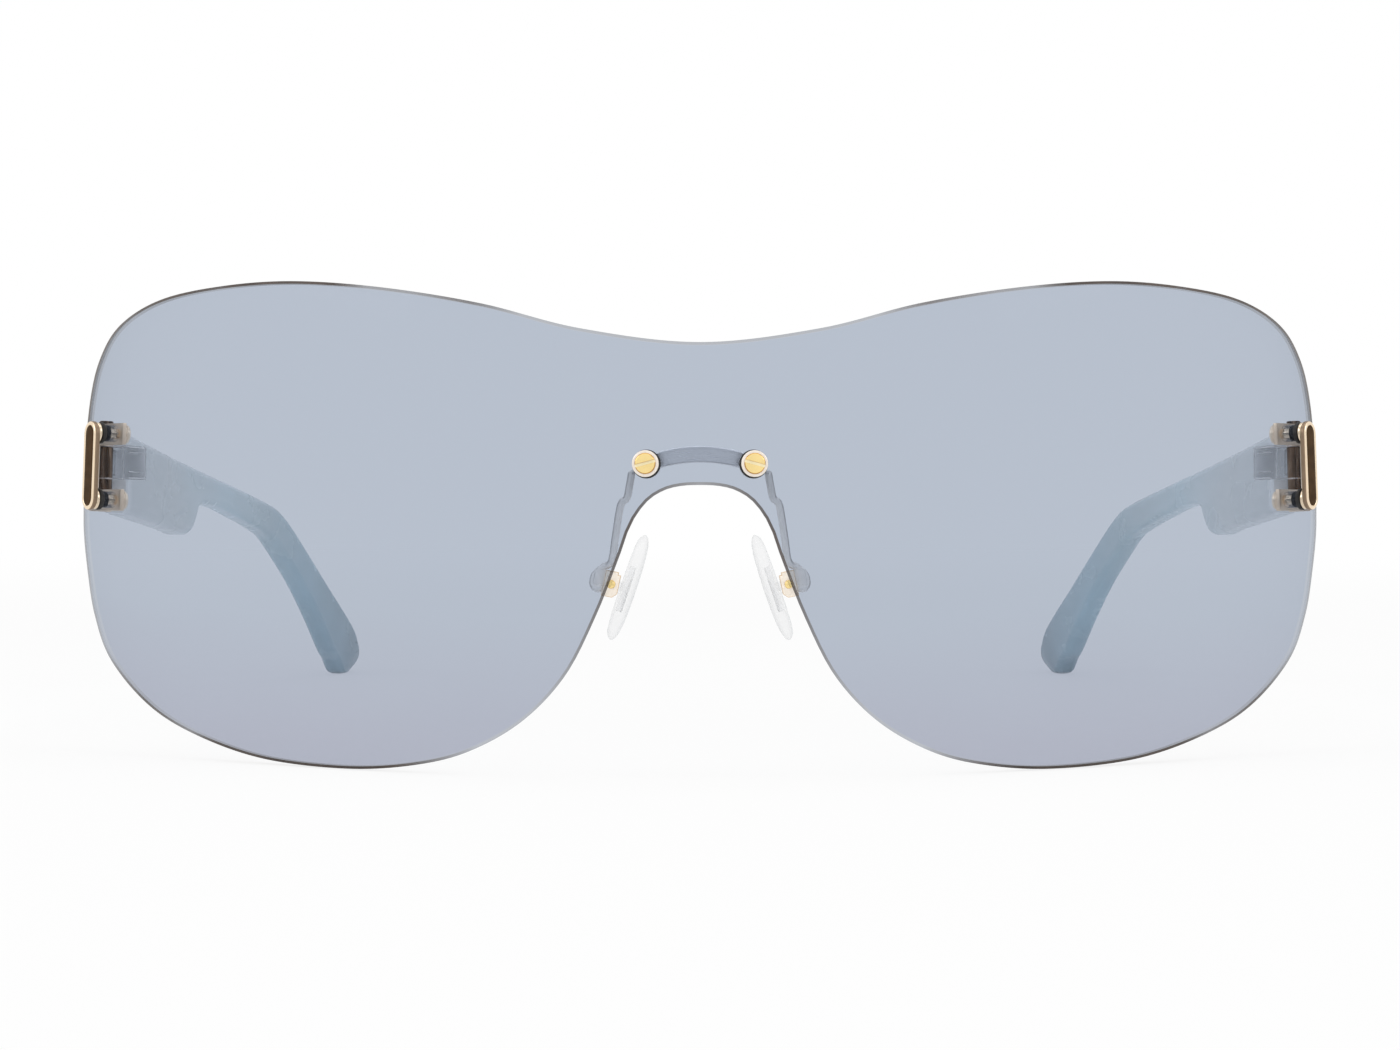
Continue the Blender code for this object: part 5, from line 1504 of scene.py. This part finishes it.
def build_block(layout, side_name, side):
    """The clear block in the temple, slotted for the tongue, with painted highlight edges and two
    rods of painted highlight in it.
    """
    hinge = layout.hinge
    start = layout.temple_start
    bm = bmesh.new()
    outline = oblong(
        layout.inner_face - BLOCK_PROUD, layout.tongue_face, start, start + hinge.block_length
    )
    low = hinge.block_level - hinge.block_height / 2
    prism(bm, layout.temple_frame, outline, low, low + hinge.block_height)
    clear = clear_finish(
        "clear_block", hinge.clear, shaded(hinge.clear, 0.97), haze=0.0, gloss=0.35,
        cloudy=0.012,
    )
    # The block's rounded edges take a near-white, mostly opaque finish: painted highlight.
    rim = painted_highlight_edge("clear_block_edge", (0.97, 0.96, 0.95), 0.85)
    block = make(f"clear_block_{side_name}", bm, side, [clear, rim])
    bm = bmesh.new()
    slot = oblong(
        layout.tongue_face - hinge.tongue - RUNNING_GAP, layout.tongue_face + OVERRUN,
        start - OVERRUN, start + hinge.tongue_length + RUNNING_GAP,
    )
    low = hinge.block_level - hinge.tongue_height / 2 - RUNNING_GAP
    prism(bm, layout.temple_frame, slot, low, low + hinge.tongue_height + 2 * RUNNING_GAP)
    cut(block, bm, side)
    bevel(block, width=0.00017, finish=1, segments=3)
    # Upright faces near the block's front are kept clear, without the painted highlight.
    to_temple = (place_for(side) @ layout.temple_frame).inverted()
    for face in block.data.polygons:
        place = to_temple @ face.center
        upright = abs((to_temple.to_3x3() @ face.normal).z) < 0.3
        if upright and place.y < start + BLOCK_FRONT:
            face.material_index = 0
    seat(block, f"hinge_block_{side_name}", "clear_plastic")

    # Two slim rods in the block, in the painted highlight finish, stand for glints on its inner
    # edges: painted highlight.
    bm = bmesh.new()
    first = start + hinge.tongue_length + HIGHLIGHT_ROD_START
    last = start + hinge.block_length - HIGHLIGHT_ROD_END
    for rise in HIGHLIGHT_ROD_RISES:
        level = hinge.block_level + hinge.block_height * rise
        path = [
            Vector((layout.inner_face + HIGHLIGHT_ROD_DEPTH, first + (last - first) * i / 8, level))
            for i in range(9)
        ]
        tube(bm, [layout.temple_frame @ point for point in path], HIGHLIGHT_ROD_RADIUS, 16)
    highlight_rods = make(f"clear_block_channel_{side_name}", bm, side, [rim])
    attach(highlight_rods, frame["nodes"][f"hinge_block_{side_name}"]["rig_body"])


def build_hinge(layout, side_name, side):
    """The fork behind the lens, the hinge screw, the barrel and the clear block."""
    build_fork(layout, side_name, side)
    build_hinge_screw(layout, side_name, side)
    build_barrel(layout, side_name, side)
    build_block(layout, side_name, side)


def temple_turn(temple, back):
    """How far the temple's faces lie inward of straight, at a distance back."""
    past = max(back - temple.turn_start, 0)
    ramp = min(past, temple.turn_length)
    return temple.tip_turn * (ramp**2 / (2 * temple.turn_length) + past - ramp)


def temple_width(temple, back):
    """Thickness of the temple, which slims past the plate."""
    plate_end = TEMPLE_RUNGS[PLATE_END_RUNG][0] * temple.length
    arm_start = TEMPLE_RUNGS[ARM_START_RUNG][0] * temple.length
    past = min(max((back - plate_end) / (arm_start - plate_end), 0), 1)
    past = past * past * (3 - 2 * past)
    return temple.thickness + (temple.arm_thickness - temple.thickness) * past


def rung_ring(layout, top, bottom, squeeze=1.0, inset=0.0):
    """A rounded section of the temple along a rung."""
    temple = layout.temple
    middle = (top + bottom) / 2
    half = (top - bottom).length / 2 - inset
    along = (top - bottom).normalized()
    width = temple_width(temple, middle.x)
    inner = layout.inner_face + inset
    if squeeze < 1:
        inner += width * (1 - squeeze) / 2
    width = width * squeeze - 2 * inset
    radius = min(temple.edge, half * squeeze, width / 2 * squeeze)
    steps = 7
    ring = []
    for quarter, (over, out) in enumerate(((1, 1), (-1, 1), (-1, -1), (1, -1))):
        for i in range(steps + 1):
            turn = math.pi / 2 * (quarter + i / steps)
            up = over * (half - radius) + radius * math.cos(turn)
            across = out * (width / 2 - radius) + radius * math.sin(turn)
            place = middle + along * up
            side = inner + width / 2 + across - temple_turn(temple, place.x)
            ring.append(layout.temple_frame @ Vector((side, place.x, place.y)))
    return ring


def temple_rings(layout):
    """The temple's sections, from its rounded front to its rounded tip."""
    temple = layout.temple
    start = layout.temple_start
    scale = Vector((temple.length, temple.height))
    lift = Vector((0, TEMPLE_LEVEL))
    ends = []
    for i in (0, 2):
        edge = [Vector(rung[i:i + 2]) * scale + lift for rung in TEMPLE_RUNGS]
        slope = (edge[1].y - edge[0].y) / (edge[1].x - edge[0].x)
        first = Vector((start, edge[0].y + slope * (start - edge[0].x)))
        ends.append(smooth_path([first] + edge, 6))
    tops, bottoms = ends
    rings = []
    for i in range(4):
        turn = math.pi / 2 * i / 4
        onward = Vector((FRONT_EDGE * math.sin(turn), 0))
        inset = FRONT_EDGE * (1 - math.sin(turn))
        rings.append(rung_ring(layout, tops[0] + onward, bottoms[0] + onward, 1.0, inset))
    rings += [rung_ring(layout, top, bottom) for top, bottom in zip(tops[1:], bottoms[1:])]
    top, bottom = tops[-1], bottoms[-1]
    onward = Vector((top.y - bottom.y, bottom.x - top.x))
    for i in range(1, TIP_RUNGS + 1):
        reach = math.sin(math.pi / 2 * i / TIP_END)
        over = (1 - reach**TIP_TOP[0]) ** TIP_TOP[1]
        under = (1 - reach**TIP_BOTTOM[0]) ** TIP_BOTTOM[1] - TIP_RISE * reach
        middle = (top + bottom) / 2 + onward * TIP_REACH * reach
        half = (top - bottom) / 2
        slim = ((over + under) / 2) ** TIP_SLIM
        rings.append(rung_ring(layout, middle + half * over, middle - half * under, slim))
    return rings


def build_temple(layout, side_name, side, material):
    """The acetate temple, with its pocket for the clear block."""
    temple, hinge = layout.temple, layout.hinge
    start = layout.temple_start
    bm = bmesh.new()
    skin(bm, temple_rings(layout))
    pocket = pocket_wall_painted_light("pale_pocket_wall", temple.pocket)
    piece = make(f"acetate_temple_{side_name}", bm, side, [material, pocket])
    bm = bmesh.new()
    low = hinge.block_level - hinge.block_height / 2 - RUNNING_GAP
    outline = oblong(
        layout.inner_face - OVERRUN, temple.outer_face - temple.wall,
        start - OVERRUN, start + hinge.block_length + RUNNING_GAP,
    )
    prism(bm, layout.temple_frame, outline, low, low + hinge.block_height + 2 * RUNNING_GAP, 1)
    cut(piece, bm, side)
    seat(piece, f"temple_{side_name}", "grey_acetate")


def bar_section(layout, along):
    """The bar's rounded section at a share of the way from its middle to an eye."""
    bridge = layout.bridge
    across = bridge.reach * along
    level = bridge.level + bridge.rise * (1 - along**2)
    radius = layout.ring_radius(level) - layout.lens.thickness - LENS_BACK_GAP
    swing = math.asin(across / radius)
    ring = []
    for up, under in ((1, 0), (-1, 0), (-1, 1), (1, 1)):
        for k in range(4):
            turn = math.pi / 6 * k
            first, second = math.cos(turn), math.sin(turn)
            if (up > 0) == (under == 0):
                first, second = second, first
            rise = up * (bridge.height / 2 - BAR_EDGE + BAR_EDGE * first)
            sink = BAR_EDGE - BAR_EDGE * second
            sink = bridge.thickness - sink if under else sink
            ring.append(Vector((
                (radius - sink) * math.sin(swing),
                layout.radius - (radius - sink) * math.cos(swing),
                level + rise,
            )))
    return ring


def build_bridge_bar(layout):
    """The arched satin bar behind the lens, with an eye at each end."""
    bridge = layout.bridge
    bm = bmesh.new()
    skin(bm, [bar_section(layout, 2 * i / BAR_STEPS - 1) for i in range(BAR_STEPS + 1)])
    edge = BAR_EDGE * 0.6
    profile = [(bridge.eye * 0.3, layout.bar_front)]
    profile += reversed(round_over(bridge.eye, layout.bar_front, edge, 3))
    profile += round_over(bridge.eye, layout.bar_back, -edge, 3)
    profile.append((bridge.eye * 0.3, layout.bar_back))
    for _, side in SIDES:
        eye = bmesh.new()
        turned(eye, layout.bridge_frame, profile)
        if side < 0:
            bmesh.ops.scale(eye, verts=eye.verts, vec=(-1, 1, 1))
            bmesh.ops.reverse_faces(eye, faces=eye.faces)
        part = bpy.data.meshes.new("eye")
        eye.to_mesh(part)
        eye.free()
        bm.from_mesh(part)
        bpy.data.meshes.remove(part)
    bar = make("bridge_strip", bm, 1, [brushed_bar("satin_bar", bridge.bar)])
    seat(bar, "bridge_bar", "satin_steel")


def build_bridge_fixing(layout, side_name, side):
    """The slotted screw, its washer and its cap nut at one end of the bar."""
    bridge = layout.bridge
    gold = yellow_gold(bridge)
    bottom = LENS_GAP + bridge.washer_depth + SEAT_GAP
    top = bottom + bridge.head_depth
    bm = bmesh.new()
    profile = [(bridge.shank, layout.bar_back - SHANK_PAST), (bridge.shank, bottom)]
    profile.append((bridge.head, bottom))
    profile += round_over(bridge.head, top - HEAD_DOME, edge=0.00020, steps=6)
    profile += [(bridge.head * s, top - HEAD_DOME * s * s) for s in (0.7, 0.5, 0.3, 0.12)]
    # The head's side and rounded edge take the deeper gold: painted shade.
    bands = [0] * 2 + [1] * 5 + [0] * (len(profile) - 8)
    turned(bm, layout.bridge_frame, profile, finish=bands)
    floor = plated_metal("pale_slot_floor", bridge.slot_floor, (0.24, 0.34))
    screw = make(
        f"bridge_slot_screw_{side_name}", bm, side, [gold, painted_shade_gold(bridge), floor]
    )
    frame_at = layout.bridge_frame @ Matrix.Rotation(-bridge.slot_turn, 4, "Z")
    slot = screw_slot(frame_at, bridge.head, top, bridge.slot, bridge.slot_depth)
    out = frame_at.to_3x3() @ Vector((0, 0, 1))
    slot.normal_update()
    for face in slot.faces:
        # In the slot, the walls take the deeper gold as painted shade and the floor the paler gold
        # as painted light.
        face.material_index = 2 if abs(face.normal.dot(out)) > 0.9 else 1
    cut(screw, slot, side)
    # The rounded edges take the deeper gold too: painted shade.
    bevel(screw, width=0.00009, angle_limit=50.0, finish=1)
    seat(screw, f"bridge_screw_{side_name}", "yellow_gold")

    bm = bmesh.new()
    disc_ring(
        bm, layout.bridge_frame, bridge.shank + SEAT_GAP, bridge.washer, LENS_GAP,
        LENS_GAP + bridge.washer_depth, edge=0.00012,
    )
    # A thin black ring under the washer, shifted to one side: a painted shadow.
    section = oblong(
        bridge.washer - SHADOW_RING_WITHIN, bridge.washer + SHADOW_RING_BEYOND,
        *SHADOW_RING_HEIGHTS,
    )
    turned_ring(bm, layout.bridge_frame, section, SHADOW_RING_SHIFT, 1)
    washer = satin_plate("pale_satin_washer", bridge.washer_colour)
    rubber = matt_rubber("black_rubber_ring", layout.end.rubber)
    piece = make(f"bridge_disc_{side_name}", bm, side, [washer, rubber])
    seat(piece, f"bridge_washer_{side_name}", "pale_washer")

    bm = bmesh.new()
    face = layout.bar_back - SEAT_GAP
    end = face - bridge.nut_depth
    profile = [(bridge.nut - inset, face - down) for inset, down in NUT_GROOVE]
    profile += round_over(bridge.nut, end, edge=-0.00018, steps=6)
    profile += [(bridge.nut * inward, end) for inward in (0.5, 0.15)]
    turned(bm, layout.bridge_frame, profile)
    nut = make(f"bridge_cap_{side_name}", bm, side, [gold])
    seat(nut, f"bridge_nut_{side_name}", "yellow_gold")


def build_pad_arm(layout, side_name, side, material):
    """The bent wire from the bar's eye to the pad box, curled at its foot."""
    pad = layout.pad
    start = layout.bridge_frame @ Vector((0, 0, layout.bar_back + pad.arm))
    points = [start + Vector(step) * pad.span for step in ARM_ROUTE]
    bm = bmesh.new()
    tube(bm, smooth_path(points, 8), pad.arm)
    foot = layout.leaned(start + Vector(FOOT_PLACE) * pad.span)
    stadium_solid(bm, foot, FOOT_WIDTH, FOOT_HEIGHT, FOOT_SECTION)
    arm = make(f"pad_wire_{side_name}", bm, side, [material])
    seat(arm, f"pad_arm_{side_name}", "satin_steel")


def build_pad_box(layout, side_name, side):
    """The small box that holds the pad's lug, and its slotted screw."""
    pad = layout.pad
    wide, high, long = pad.box_width / 2, pad.box_height / 2, pad.box_length / 2
    step, slant = BOX_STEP, BOX_SLANT
    outline = [
        (wide, -high), (wide, high), (-wide + step, high), (-wide + step, high - step),
        (-wide, high - step), (-wide, -high + slant), (-wide + slant, -high),
    ]
    bm = bmesh.new()
    prism(bm, layout.box_frame, outline, -long, long)
    gold = satin_plate("box_gold_plate", (1.0, 0.905, 0.785))
    # A darker copy of the box's gold for its rounded edges: painted shade.
    edge_painted_shade = plated_metal("warm_box_edge", (0.86, 0.66, 0.46), (0.22, 0.32))
    box = make(f"pad_holder_{side_name}", bm, side, [gold, edge_painted_shade])
    bm = bmesh.new()
    reach = high + OVERRUN
    mouth = oblong(-wide - OVERRUN, wide - BOX_WALL, -reach, reach)
    prism(bm, layout.box_frame, mouth, -BOX_MOUTH / 2, BOX_MOUTH / 2)
    cut(box, bm, side)
    bevel(box, width=0.00007, angle_limit=30.0, finish=1)
    seat(box, f"pad_box_{side_name}", "pale_gold")

    bm = bmesh.new()
    bottom = long + SEAT_GAP
    top = bottom + PAD_SCREW_DEPTH
    profile = [(pad.screw, -long), (pad.screw, bottom), (pad.screw_head, bottom)]
    profile += round_over(pad.screw_head, top, edge=0.00010, steps=4)
    # The head's side and rounded edge take the deeper gold: painted shade.
    bands = [0] * 2 + [1] * 3 + [0] * (len(profile) - 6)
    turned(bm, layout.box_frame, profile, finish=bands)
    gold, deep = yellow_gold(layout.bridge), painted_shade_gold(layout.bridge)
    screw = make(f"pad_slot_screw_{side_name}", bm, side, [gold, deep])
    cut(screw, screw_slot(layout.box_frame, pad.screw_head, top, *PAD_SLOT), side)
    seat(screw, f"pad_screw_{side_name}", "yellow_gold")


def build_pad(layout, side_name, side):
    """The clear nose pad, and the core inside it whose lug turns in the box."""
    pad = layout.pad
    sides = 72
    rings = []
    for height, size in PAD_LAYERS:
        ring = []
        for i in range(sides):
            turn = math.tau * i / sides
            up = math.sin(turn)
            width = pad.width / 2 * (1 - PAD_TAPER * up)
            ring.append(layout.pad_frame @ Vector((
                size * width * math.cos(turn), size * pad.height / 2 * up, height * pad.thickness
            )))
        rings.append(ring)
    bm = bmesh.new()
    skin(bm, rings)
    clear = clear_finish(
        "clear_silicone_pad", pad.silicone, shaded(pad.silicone, 0.95), haze=0.02, gloss=0.6,
        cloudy=0.03, rough=(0.10, 0.22),
    )
    soft = make(f"silicone_pad_{side_name}", bm, side, [clear])
    back = -pad.thickness / 2
    pocket, plate = (
        oblong(
            -pad.setback - CORE_WIDTH / 2 - gap, -pad.setback + CORE_WIDTH / 2 + gap,
            -pad.lift - CORE_HEIGHT / 2 - gap, -pad.lift + CORE_HEIGHT / 2 + gap,
        )
        for gap in (SEAT_GAP, 0.0)
    )
    bm = bmesh.new()
    prism(bm, layout.pad_frame, pocket, back - OVERRUN, back + CORE_DEPTH + SEAT_GAP)
    cut(soft, bm, side)
    seat(soft, f"nose_pad_{side_name}", "clear_silicone")

    bm = bmesh.new()
    prism(bm, layout.pad_frame, plate, back, back + CORE_DEPTH)
    hard = clear_finish(
        "grey_clear_core", pad.core, shaded(pad.core, 0.96), haze=0.03, gloss=0.9, cloudy=0.03
    )
    core = make(f"pad_insert_{side_name}", bm, side, [hard])
    lug = bmesh.new()
    half = LUG_THICKNESS / 2
    turned(lug, layout.box_frame, ((LUG_RADIUS, -half), (LUG_RADIUS, half)))
    cut(core, lug, side, "UNION")
    stem = bmesh.new()
    reach = pad.seat - pad.thickness / 2 + STEM_SUNK
    outline = oblong(-reach, 0, -LUG_RADIUS, LUG_RADIUS)
    prism(stem, layout.box_frame, outline, -half, half)
    cut(core, stem, side, "UNION")
    bore = bmesh.new()
    hole = pad.screw + SEAT_GAP
    turned(bore, layout.box_frame, ((hole, -half - OVERRUN), (hole, half + OVERRUN)))
    cut(core, bore, side)
    seat(core, f"pad_core_{side_name}", "clear_plastic")


def softbox(name, place, width, height, watts, mirrored):
    """A soft light that looks at the pair."""
    light = bpy.data.lights.new(name, "AREA")
    light.shape = "RECTANGLE"
    light.size = width
    light.size_y = height
    light.energy = watts
    lamp = bpy.data.objects.new(name, light)
    lamp.location = place
    aim = Vector(SOFTBOX_AIM) - Vector(place)
    lamp.rotation_euler = aim.to_track_quat("-Z", "Y").to_euler()
    lamp.visible_glossy = mirrored
    bpy.context.scene.collection.objects.link(lamp)


def build_floor(stage):
    """A pale floor that keeps the shadow near the pair and fades to white far off."""
    f = Finish("pale_floor")
    flat = f.add(
        "ShaderNodeVectorMath", operation="MULTIPLY", _0=f.coordinates, _1=(1.0, 1.0, 0.0)
    )
    away = f.add("ShaderNodeVectorMath", operation="LENGTH", _0=flat.outputs[0]).outputs["Value"]
    fade = f.add(
        "ShaderNodeMapRange", interpolation_type="SMOOTHSTEP", Value=away,
        From_Min=stage.fade_start, From_Max=stage.fade_end, To_Min=0.0, To_Max=1.0,
    ).outputs[0]
    cloud = f.grain(9.0, 2.0)
    tone = stage.floor_colour
    matt = f.principled(
        Base_Color=f.clouded(cloud, shaded(tone, 0.998), tone),
        Roughness=f.between(cloud, 0.88, 0.95),
        Specular_IOR_Level=0.0,
    )
    white = f.add("ShaderNodeEmission", Color=(1.0, 1.0, 1.0), Strength=1.0).outputs[0]
    amount = f.math("MULTIPLY", f.between(fade, 0.82, 1.0, 0.0, 1.0), f.background_rays())
    material = f.finish(f.mix(amount, matt, white))
    bm = bmesh.new()
    rings = [
        circle(Matrix.Identity(4), reach * stage.floor, FLOOR_LEVEL, sides=2 * ROUND_SIDES)
        for reach in FLOOR_RINGS
    ]
    skin(bm, rings, end=False)
    mesh = bpy.data.meshes.new("floor")
    bm.to_mesh(mesh)
    bm.free()
    mesh.materials.append(material)
    floor = bpy.data.objects.new("floor", mesh)
    bpy.context.scene.collection.objects.link(floor)


def build_world(stage):
    """White background with an even, gentler light for the pair itself."""
    world = bpy.data.worlds.new("studio")
    bpy.context.scene.world = world
    world.use_nodes = True
    nodes = Nodes(world.node_tree)
    strength = nodes.between(nodes.background_rays(), stage.sky, 1.0, 0.0, 1.0)
    light = nodes.add("ShaderNodeBackground", Color=(1.0, 1.0, 1.0), Strength=strength)
    nodes.add("ShaderNodeOutputWorld", Surface=light.outputs[0])


def place_camera(stage):
    """The camera, straight in front of the lens."""
    camera = bpy.data.cameras.new("camera")
    camera.lens = stage.focal
    camera.sensor_width = SENSOR_WIDTH
    viewer = bpy.data.objects.new("camera", camera)
    viewer.matrix_world = (
        STAND @ Matrix.Translation((0, -stage.distance, 0)) @ Matrix.Rotation(math.pi / 2, 4, "X")
    )
    scene = bpy.context.scene
    scene.collection.objects.link(viewer)
    scene.camera = viewer
    scene.view_settings.view_transform = "Standard"


class SHIELD_OT_lens(bpy.types.Operator):
    """Build the one-piece shield lens"""

    bl_idname = "shield.lens"
    bl_label = "Shield Lens"

    def execute(self, context):
        build_lens(Layout(context.scene))
        return {"FINISHED"}


class SHIELD_OT_end_pieces(bpy.types.Operator):
    """Build the two gold bezels and their enamel strips"""

    bl_idname = "shield.end_pieces"
    bl_label = "End Pieces"

    def execute(self, context):
        layout = Layout(context.scene)
        for side_name, side in SIDES:
            build_end_piece(layout, side_name, side)
        return {"FINISHED"}


class SHIELD_OT_post_rings(bpy.types.Operator):
    """Build the rubber rings, spacer discs and cap nuts on the posts"""

    bl_idname = "shield.post_rings"
    bl_label = "Post Rings"

    def execute(self, context):
        layout = Layout(context.scene)
        for side_name, side in SIDES:
            build_post_rings(layout, side_name, side)
        return {"FINISHED"}


class SHIELD_OT_hinges(bpy.types.Operator):
    """Build the two hinges with their clear blocks"""

    bl_idname = "shield.hinges"
    bl_label = "Hinges"

    def execute(self, context):
        layout = Layout(context.scene)
        for side_name, side in SIDES:
            build_hinge(layout, side_name, side)
        return {"FINISHED"}


class SHIELD_OT_temples(bpy.types.Operator):
    """Build the two acetate temples"""

    bl_idname = "shield.temples"
    bl_label = "Temples"

    def execute(self, context):
        layout = Layout(context.scene)
        temple = layout.temple
        material = milky_acetate("milky_acetate", temple.front, temple.arm, temple.tip)
        for side_name, side in SIDES:
            build_temple(layout, side_name, side, material)
        return {"FINISHED"}


class SHIELD_OT_bridge(bpy.types.Operator):
    """Build the bridge bar with its screws, washers and nuts"""

    bl_idname = "shield.bridge"
    bl_label = "Bridge"

    def execute(self, context):
        layout = Layout(context.scene)
        build_bridge_bar(layout)
        for side_name, side in SIDES:
            build_bridge_fixing(layout, side_name, side)
        sleeve = clear_sleeve()
        for side_name, _ in SIDES:
            frame["nodes"][f"bridge_sleeve_{side_name}"].data.materials[0] = sleeve
        return {"FINISHED"}


class SHIELD_OT_pad_arms(bpy.types.Operator):
    """Build the two wire arms of the nose pads"""

    bl_idname = "shield.pad_arms"
    bl_label = "Pad Arms"

    def execute(self, context):
        layout = Layout(context.scene)
        material = arm_wire("warm_wire", layout.pad.silver)
        for side_name, side in SIDES:
            build_pad_arm(layout, side_name, side, material)
        return {"FINISHED"}


class SHIELD_OT_pads(bpy.types.Operator):
    """Build the nose pads with their boxes and screws"""

    bl_idname = "shield.pads"
    bl_label = "Nose Pads"

    def execute(self, context):
        layout = Layout(context.scene)
        for side_name, side in SIDES:
            build_pad_box(layout, side_name, side)
            build_pad(layout, side_name, side)
        return {"FINISHED"}


class SHIELD_OT_stage(bpy.types.Operator):
    """Set up the floor, the lights and the camera"""

    bl_idname = "shield.stage"
    bl_label = "Studio Stage"

    def execute(self, context):
        stage = context.scene.shield_stage
        build_floor(stage)
        build_world(stage)
        for name, place, width, height, mirrored in SOFTBOXES:
            softbox(f"{name}_softbox", place, width, height, getattr(stage, name), mirrored)
        place_camera(stage)
        return {"FINISHED"}


STEPS = (
    SHIELD_OT_lens, SHIELD_OT_end_pieces, SHIELD_OT_post_rings, SHIELD_OT_hinges,
    SHIELD_OT_temples, SHIELD_OT_bridge, SHIELD_OT_pad_arms, SHIELD_OT_pads, SHIELD_OT_stage,
)
SETTINGS = (
    ("shield_lens", LensSettings, "Lens"),
    ("shield_end_pieces", EndPieceSettings, "End pieces"),
    ("shield_hinges", HingeSettings, "Hinges"),
    ("shield_temples", TempleSettings, "Temples"),
    ("shield_bridge", BridgeSettings, "Bridge"),
    ("shield_pads", PadSettings, "Nose pads"),
    ("shield_stage", StageSettings, "Stage"),
)


class SHIELD_PT_panel(bpy.types.Panel):
    """Lists the steps that build the sunglasses, and their settings"""

    bl_label = "Shield Sunglasses"
    bl_idname = "SHIELD_PT_panel"
    bl_space_type = "VIEW_3D"
    bl_region_type = "UI"
    bl_category = "Sunglasses"

    def draw(self, context):
        column = self.layout.column()
        for step in STEPS:
            column.operator(step.bl_idname)
        for attribute, group, title in SETTINGS:
            box = self.layout.box()
            box.label(text=title)
            settings = getattr(context.scene, attribute)
            for name in group.__annotations__:
                box.prop(settings, name)


CLASSES = tuple(group for _, group, _ in SETTINGS) + STEPS + (SHIELD_PT_panel,)


def register():
    """Makes the settings, the steps and the panel known to Blender."""
    for item in CLASSES:
        bpy.utils.register_class(item)
    for attribute, group, _ in SETTINGS:
        setattr(bpy.types.Scene, attribute, PointerProperty(type=group))


def unregister():
    """Takes away what register has made known."""
    for attribute, _, _ in SETTINGS:
        delattr(bpy.types.Scene, attribute)
    for item in reversed(CLASSES):
        bpy.utils.unregister_class(item)


def main():
    register()
    bpy.ops.shield.lens()
    bpy.ops.shield.end_pieces()
    bpy.ops.shield.post_rings()
    bpy.ops.shield.hinges()
    bpy.ops.shield.temples()
    bpy.ops.shield.bridge()
    bpy.ops.shield.pad_arms()
    bpy.ops.shield.pads()
    bpy.ops.shield.stage()
    bpy.context.view_layer.update()


if __name__ == "__main__":
    main()
